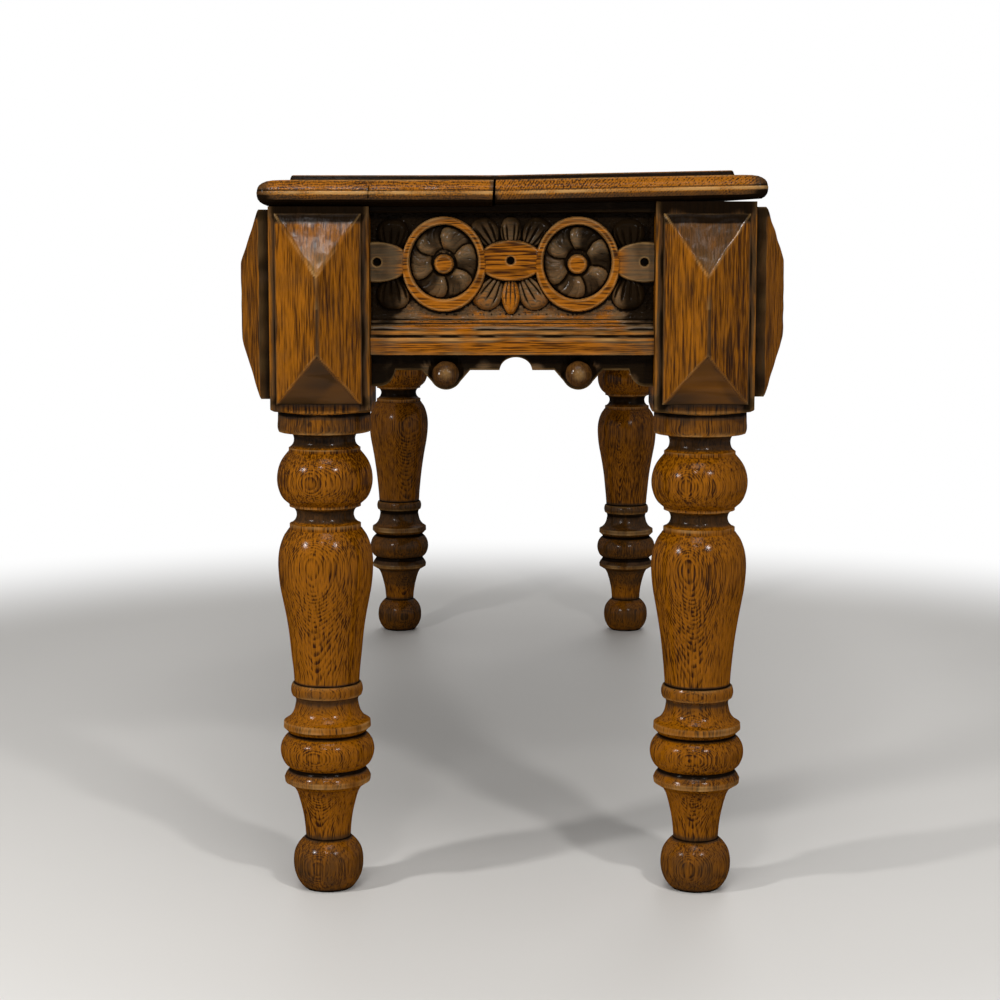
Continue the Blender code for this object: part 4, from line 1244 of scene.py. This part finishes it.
@dataclass
class Moulding(Piece):
    """The moulding between carving and apron: a fillet, a cove, a bead and a flat fascia."""

    ending: ClassVar[str] = "run"
    side: Side
    pith: Pair
    seed: int
    projection: float = 0.0105
    uneven: float = 0.03
    # Depth and height as shares, then soil with painted shade in the hollows, and rubbing, round the section
    # from the foot of its back
    section: tuple[tuple[float, float, float, float], ...] = (
        (0.0, 0.0, 0.8, 0.0), (0.5, 0.0, 0.8, 0.0), (0.90, 0.0, 0.6, 0.0), (0.97, 0.012, 0.3, 0.2),
        (1.0, 0.045, 0.15, 0.3), (1.0, 0.15, 0.12, 0.0), (1.0, 0.28, 0.12, 0.0), (1.0, 0.40, 0.15, 0.0),
        (1.0, 0.445, 0.4, 0.0), (0.965, 0.458, 0.6, 0.0), (0.97, 0.475, 0.1, 0.4), (0.985, 0.50, 0.0, 0.6),
        (0.985, 0.545, 0.0, 0.6), (0.96, 0.575, 0.1, 0.4), (0.86, 0.59, 0.7, 0.0), (0.68, 0.60, 1.0, 0.0),
        (0.62, 0.625, 1.0, 0.0), (0.62, 0.655, 0.9, 0.0), (0.66, 0.672, 0.3, 0.2), (0.72, 0.69, 0.0, 0.4),
        (0.73, 0.74, 0.0, 0.4), (0.70, 0.79, 0.0, 0.35), (0.62, 0.815, 0.3, 0.2), (0.48, 0.83, 0.9, 0.0),
        (0.36, 0.85, 1.0, 0.0), (0.30, 0.88, 0.6, 0.0), (0.26, 0.92, 0.35, 0.0), (0.20, 0.96, 0.3, 0.1),
        (0.12, 0.985, 0.3, 0.1), (0.06, 1.0, 0.4, 0.0), (0.0, 1.0, 0.6, 0.0), (0.0, 0.5, 0.8, 0.0))

    @property
    def node(self) -> str:
        """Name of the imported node."""
        return f"moulding_{self.side.name}"

    def skins(self) -> list[Skin]:
        """The moulding's one skin: its section carried along the side, with a little unevenness.

        Returns:
            The closed skin.
        """
        clear = self.side.half_clear
        s = np.linspace(-clear, clear, max(90, int(2 * clear / 0.005)))[:, None]
        share, rise, grime_and_shade, wear_and_sheen = np.array(self.section).T[:, None, :]
        uneven = 1.0 - self.uneven * (0.5 + 0.5 * wobble(s, 0 * s, 0.06, self.seed))
        depth = FRAME.ground + FRAME.fit + self.projection * share * uneven
        level = FRAME.moulding_bottom + (FRAME.moulding_top - FRAME.moulding_bottom) * rise + 0 * s
        along = s + 0 * level
        patchy = 0.8 + 0.5 * wobble(along, level, 0.03, self.seed + 1)
        # Painted shade beside the blocks, where the moulding meets them
        beside = ease(0.030, 0.003, clear - np.abs(s))
        return [Skin(self.side.place(along, level, depth),
                     in_wood(along, depth, level - FRAME.band, self.pith, self.seed),
                     grime_and_shade * patchy + 0.26 * beside, wear_and_sheen * patchy * (1 - 0.6 * beside))]


@dataclass
class Boss(Piece):
    """A hipped boss on the outer face of a block."""

    ending: ClassVar[str] = "hipped"
    side: Side
    corner: str
    sign: int
    pith: Pair
    seed: int
    dusty: float
    half_width: float = FRAME.boss_half
    half_height: float = 0.064
    end_middle: float = 0.4112
    long_raise: float = 0.0028
    rear_raise: float = 0.0018
    base: float = 0.007
    rise: float = 0.0155
    end_hips: Pair = (0.0425, 0.0350)
    long_hips: Pair = (0.0366, 0.0400)
    soft: float = 0.0005
    # Painted shade on the side walls of the base
    side_shade: float = 0.9

    @property
    def node(self) -> str:
        """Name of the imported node."""
        return f"boss_{self.side.name}_{self.corner}"

    @property
    def middle(self) -> float:
        """Height of the boss's middle, higher on the long sides and most so at the rear."""
        raised = {"front": self.long_raise, "rear": self.long_raise + self.rear_raise}
        return self.end_middle + raised.get(self.side.name, 0.0)

    def skins(self) -> list[Skin]:
        """The boss's one skin: the lowest of four sloping planes, softly joined, over a low base.

        The soft minimum of a and b is their mean less half the root of their difference squared
        plus the softness squared.

        Returns:
            The closed skin.
        """
        even = np.linspace(-1.0, 1.0, 57)[None, :]
        u = self.half_width * (0.35 * np.sin(even * np.pi / 2) + 0.65 * even)
        v = np.linspace(-self.half_height, self.half_height, 111)[:, None]
        upper, lower = v > 0, v < 0
        flank = self.rise * (1.0 - np.sqrt((u / self.half_width) ** 2 + 0.0005))
        flank = np.maximum(flank, 0.0)
        over, under = self.end_hips if self.side.is_end else self.long_hips
        length = np.where(upper, over, under)
        hip = self.rise * (self.half_height - np.abs(v)) / length
        roof = (flank + hip) / 2 - np.sqrt((flank - hip) ** 2 + self.soft**2) / 2
        roof = np.maximum(roof, 0.0) + 0.00018 * wobble(u, v, 0.02, self.seed)
        near_ridge = ease(0.0018, 0.0003, np.abs(u)) * (np.abs(v) < self.half_height - length) * upper
        near_hip = ease(0.0006, 0.0001, np.abs(flank - hip)) * (flank < self.rise * 0.985)
        rim = np.minimum(self.half_width - np.abs(u), self.half_height - np.abs(v))
        patchy = 0.75 + 0.55 * wobble(u, v, 0.025, self.seed + 1)
        facet = ease(0.0, 0.001, flank - hip)
        # Rubbing with a painted sheen on the upper facet towards its apex, less where dust lies
        rubbed_and_sheen = facet * ease(self.half_height - 0.4 * over, self.half_height - over, v)
        wear_and_sheen = 0.2 * near_ridge + 0.5 * near_hip * np.where(upper, 1.0, 0.4)
        wear_and_sheen = wear_and_sheen + 0.08 * ease(0.0012, 0.0003, rim)
        wear_and_sheen = wear_and_sheen * patchy + np.where(upper, rubbed_and_sheen * (0.42 - self.dusty), 0.0)
        seam = bell(u, 0.0006, 0.0007) * ease(self.half_height - over, -0.2 * over, v)
        seam = seam * (v > -self.half_height + 0.9 * under)
        # Soil over all and in a dark seam, painted shade round the rim, painted shadow of the seat along the
        # top, painted shade on the lower facets, dust on the upper ones
        grime_and_shade = 0.19 + 0.8 * seam + 0.6 * ease(0.0009, 0.0, rim)
        grime_and_shade = grime_and_shade + 0.75 * ease(self.half_height - 0.0075, self.half_height - 0.0045, v)
        grime_and_shade = grime_and_shade + facet * np.where(lower, 0.30, self.dusty)
        foot = FRAME.block_half + FRAME.fit
        front = foot + self.base + roof - 0.0006 * ease(0.0016, 0.0, rim)

        def padded(values: Array, outside: float | None = None) -> Array:
            """A field with one more row and column on each side, of its own edge or of one value."""
            how = {"mode": "edge"} if outside is None else {"constant_values": outside}
            return np.pad(np.broadcast_to(values, front.shape), 1, **how)

        calm = padded(1.0 - 0.99 * facet * lower)
        depth, along, level = padded(front, foot), padded(u), padded(v)
        return [Skin(self.side.place(self.sign * self.side.half_span + along, self.middle + level, depth),
                     in_wood(level, along * calm, 0.3 * depth * calm, self.pith, self.seed),
                     padded(grime_and_shade, self.side_shade), padded(wear_and_sheen, 0.0), ring=False)]


@dataclass
class DropBall(Piece):
    """A turned ball seated on a lobe of the apron."""

    ending: ClassVar[str] = "turned"
    slot: ClassVar[Slot] = Slot.DARK
    side: Side
    number: int
    seed: int
    pith: Pair = (0.02, 0.03)
    radius: float = 0.0092
    seat: float = 0.0052
    nose: float = 0.03
    out_of_true: float = 0.012

    @property
    def node(self) -> str:
        """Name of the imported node."""
        return f"drop_ball_{self.side.name}_{self.number + 1:02d}"

    def skins(self) -> list[Skin]:
        """The ball's one skin: a sphere from its nose to its flat back, a little out of true and faceted.

        Returns:
            The closed skin.
        """
        lowest = -math.asin(self.seat / self.radius)
        tilt = np.linspace(math.pi / 2 - self.nose, lowest, 30)[:, None]
        turn = np.linspace(0.0, 2 * np.pi, 48, endpoint=False)[None, :]
        flats = np.cos(7 * turn + self.seed) * np.cos(3 * tilt) + np.cos(2 * turn + 2 * self.seed)
        radius = self.radius * (0.978 + self.out_of_true * flats)
        s = self.side.centres[self.number] + radius * np.cos(tilt) * np.cos(turn)
        h = FRAME.ball_height + radius * np.cos(tilt) * np.sin(turn)
        back = FRAME.ground + FRAME.fit
        d = np.maximum(back + self.seat + radius * np.sin(tilt), back)
        grime_and_shade = 0.30 + 0.7 * ease(0.25, -0.35, tilt) + 0 * turn
        wear_and_sheen = 0.35 * ease(0.9, 1.4, tilt) + 0 * turn
        return [Skin(self.side.place(s, h, d), in_wood(h, s, d, self.pith, self.seed), grime_and_shade, wear_and_sheen)]


@dataclass
class InnerFrame:
    """The bearers, glue blocks and screws under the seat, kept as packed and given finishes."""

    bare: OakFinish = OakFinish("bare_oak_lengthwise", (0.30, 0.19, 0.10), (0.15, 0.085, 0.04),
                                roughness=0.72, coat=0.0, fibre=Fibre.ALONG_X)
    iron: IronFinish = IronFinish()

    def dress(self) -> None:
        """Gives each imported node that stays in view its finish."""
        lengthwise, iron = self.bare.build(), self.iron.build()
        crosswise = replace(self.bare, name="bare_oak_crosswise", fibre=Fibre.ALONG_Y).build()
        for name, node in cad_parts.items():
            kind = name.split("_")[0]
            if kind not in ("bearer", "glue", "screw"):
                continue
            along_x = name in ("glue_block_front", "glue_block_rear")
            finish = iron if kind == "screw" else lengthwise if along_x else crosswise
            for place in node.material_slots:
                place.material = finish
            LOG.info("%s: %s", name, finish.name)


@dataclass
class Studio:
    """Floor, soft light and the camera at the photograph's angle."""

    eye: tuple[float, float, float] = (2.050, 0.001, 0.4736)
    pitch_down: float = 7.23
    yaw: float = -0.35
    lens: float = 80.57
    sensor: float = 36.0
    sky: float = 0.14
    floor_half: float = 6.0
    # Where the lamps point, and the name, place, size and power of each
    lit: tuple[float, float, float] = (0.1, 0.0, 0.3)
    lamps: tuple[tuple[str, tuple[float, float, float], float, float], ...] = (
        ("rear_right", (1.61, 0.62, 1.12), 0.10, 8.5),
        ("front_right", (1.10, -0.93, 0.80), 0.10, 8.0),
        ("over_end", (1.12, 0.0, 1.67), 0.60, 7.5),
        ("end_front", (2.112, -0.306, 1.677), 0.16, 5.0),
        ("end_rear", (2.112, 0.302, 1.677), 0.16, 1.0),
        ("top", (0.0, 0.0, 2.6), 2.0, 8.0),
        ("left", (-2.2, 0.5, 2.0), 1.6, 14.0))

    def floor(self) -> None:
        """Lays the floor, a wide square at height zero."""
        corners = self.floor_half * np.array([[-1, -1, 0], [1, -1, 0], [1, 1, 0], [-1, 1, 0]])
        mesh = bpy.data.meshes.new("studio_floor")
        mesh.from_pydata(corners.tolist(), [], [(0, 1, 2, 3)])
        mesh.materials.append(FloorFinish().build())
        floor = bpy.data.objects.new("studio_floor", mesh)
        bpy.context.scene.collection.objects.link(floor)

    def world(self) -> None:
        """A soft even sky that the camera and reflections see as white."""
        sheet = NodeSheet(bpy.data.worlds.new("studio"))
        strength = sheet.node("ShaderNodeMapRange", {"Value": sheet.seen(), "To Min": self.sky})
        sheet.feed(sheet.tree.nodes["Background"], {"Color": WHITE, "Strength": strength})
        bpy.context.scene.world = sheet.owner

    def light(self) -> None:
        """Hangs the square lamps, each turned to the middle of the bench."""
        for name, place, size, power in self.lamps:
            lamp = bpy.data.lights.new(f"lamp_{name}", "AREA")
            lamp.size, lamp.energy = size, power
            holder = bpy.data.objects.new(lamp.name, lamp)
            holder.location = place
            ahead = Vector(self.lit) - Vector(place)
            holder.rotation_euler = ahead.to_track_quat("-Z", "Y").to_euler()
            bpy.context.scene.collection.objects.link(holder)

    def camera(self) -> None:
        """Sets the camera: level sideways, turned a little and tilted down."""
        pitch, yaw = math.radians(self.pitch_down), math.radians(self.yaw)
        level = math.cos(pitch)
        ahead = Vector((-level * math.cos(yaw), level * math.sin(yaw), -math.sin(pitch)))
        right = Vector((math.sin(yaw), math.cos(yaw), 0.0))
        up = right.cross(ahead)
        lens = bpy.data.cameras.new("camera")
        lens.lens, lens.sensor_fit = self.lens, "HORIZONTAL"
        lens.sensor_width, lens.sensor_height = self.sensor, self.sensor
        holder = bpy.data.objects.new("camera", lens)
        turn = Matrix((right, up, -ahead)).transposed().to_4x4()
        holder.matrix_world = Matrix.Translation(self.eye) @ turn
        bpy.context.scene.collection.objects.link(holder)
        bpy.context.scene.camera = holder

    def build(self) -> None:
        """Sets up the whole studio."""
        self.camera()
        self.floor()
        self.world()
        self.light()
        bpy.context.scene.view_settings.view_transform = "Standard"


@dataclass
class HallBench:
    """The whole bench, in the order in which it is put together."""

    polished: OakFinish = OakFinish("polished_oak_waxed", (0.268, 0.088, 0.0026), (0.026, 0.0073, 0.0005))
    seat: OakFinish = OakFinish("seat_oak_waxed", (0.302, 0.099, 0.0030), (0.030, 0.0085, 0.0006),
                                ring_width=0.0017)
    carved: OakFinish = OakFinish("carved_oak_waxed", (0.322, 0.101, 0.0042), (0.036, 0.0100, 0.0007),
                                  dulled_and_shaded=(0.088, 0.060, 0.030))
    dark: OakFinish = OakFinish("dark_oak_waxed", (0.100, 0.040, 0.008), (0.030, 0.012, 0.004),
                                roughness=0.30, uneven=0.08)
    legs: list[Leg] = field(default_factory=lambda: [
        Leg("front", "right", (0.052, -0.010), 11),
        Leg("rear", "right", (0.046, -0.012), 23, heights=(
            (0, 0), (37, 36.5), (100, 99), (139, 137.5), (267, 264.6), (316, 313.6), (325.5, 324.4),
            (339, 339), (360, 360))),
        Leg("front", "left", (0.040, 0.020), 37, far_grime_and_shade=(0.20, 0.40), heights=(
            (0, 0), (37, 36), (77.6, 74), (100, 97.5), (120, 119.5), (144, 145), (267.5, 274), (325, 329),
            (339, 339), (360, 360))),
        Leg("rear", "left", (-0.045, 0.016), 41, far_grime_and_shade=(0.15, 0.40), heights=(
            (0, 0), (37, 36), (77.6, 74), (100, 96.5), (144, 141), (267.5, 265.5), (325, 324), (339, 339),
            (360, 360)))])
    boards: list[SeatBoard] = field(default_factory=lambda: [
        SeatBoard("seat_board_front", -1, (0.012, 0.600), 5, crack=0.549),
        SeatBoard("seat_board_rear", 1, (-0.190, 0.170), 8, thickness=0.01957, top=0.50107, lift=0.0038)])
    end_step: float = 0.0005
    long_step: float = 0.00105
    # Shifts of the carving and of the middle notch on the near end
    near_shifts: Pair = (-0.0011, 0.0025)
    rear_dust: float = 0.32
    dust: float = 0.10

    def build(self) -> None:
        """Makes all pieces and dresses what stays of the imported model."""
        polished, seat, carved, dark = (
            finish.build() for finish in (self.polished, self.seat, self.carved, self.dark))
        for leg in self.legs:
            leg.build(polished)
        for number, side in enumerate(SIDES):
            step = self.end_step if side.is_end else self.long_step
            shifts = self.near_shifts if side.name == "right" else (0.0, 0.0)
            CarvedRail(side, step, (0.05, 0.01), 60 + number, *shifts).build(carved)
            Moulding(side, (0.045, 0.02), 70 + number).build(carved)
            for corner, sign in zip(side.corners, (-1, 1)):
                dusty = self.rear_dust if corner == "rear" else self.dust
                seed = 80 + 2 * number + sign
                Boss(side, corner, sign, (0.075 * sign, 0.025), seed, dusty).build(polished)
            for ball in range(side.rings):
                DropBall(side, ball, 100 * number + ball).build(dark)
        for board in self.boards:
            board.build(seat)
        InnerFrame().dress()


def main() -> None:
    """Builds the bench and the studio."""
    logging.basicConfig(level=logging.INFO, format="%(name)s %(message)s")
    HallBench().build()
    Studio().build()


if __name__ == "__main__":
    main()
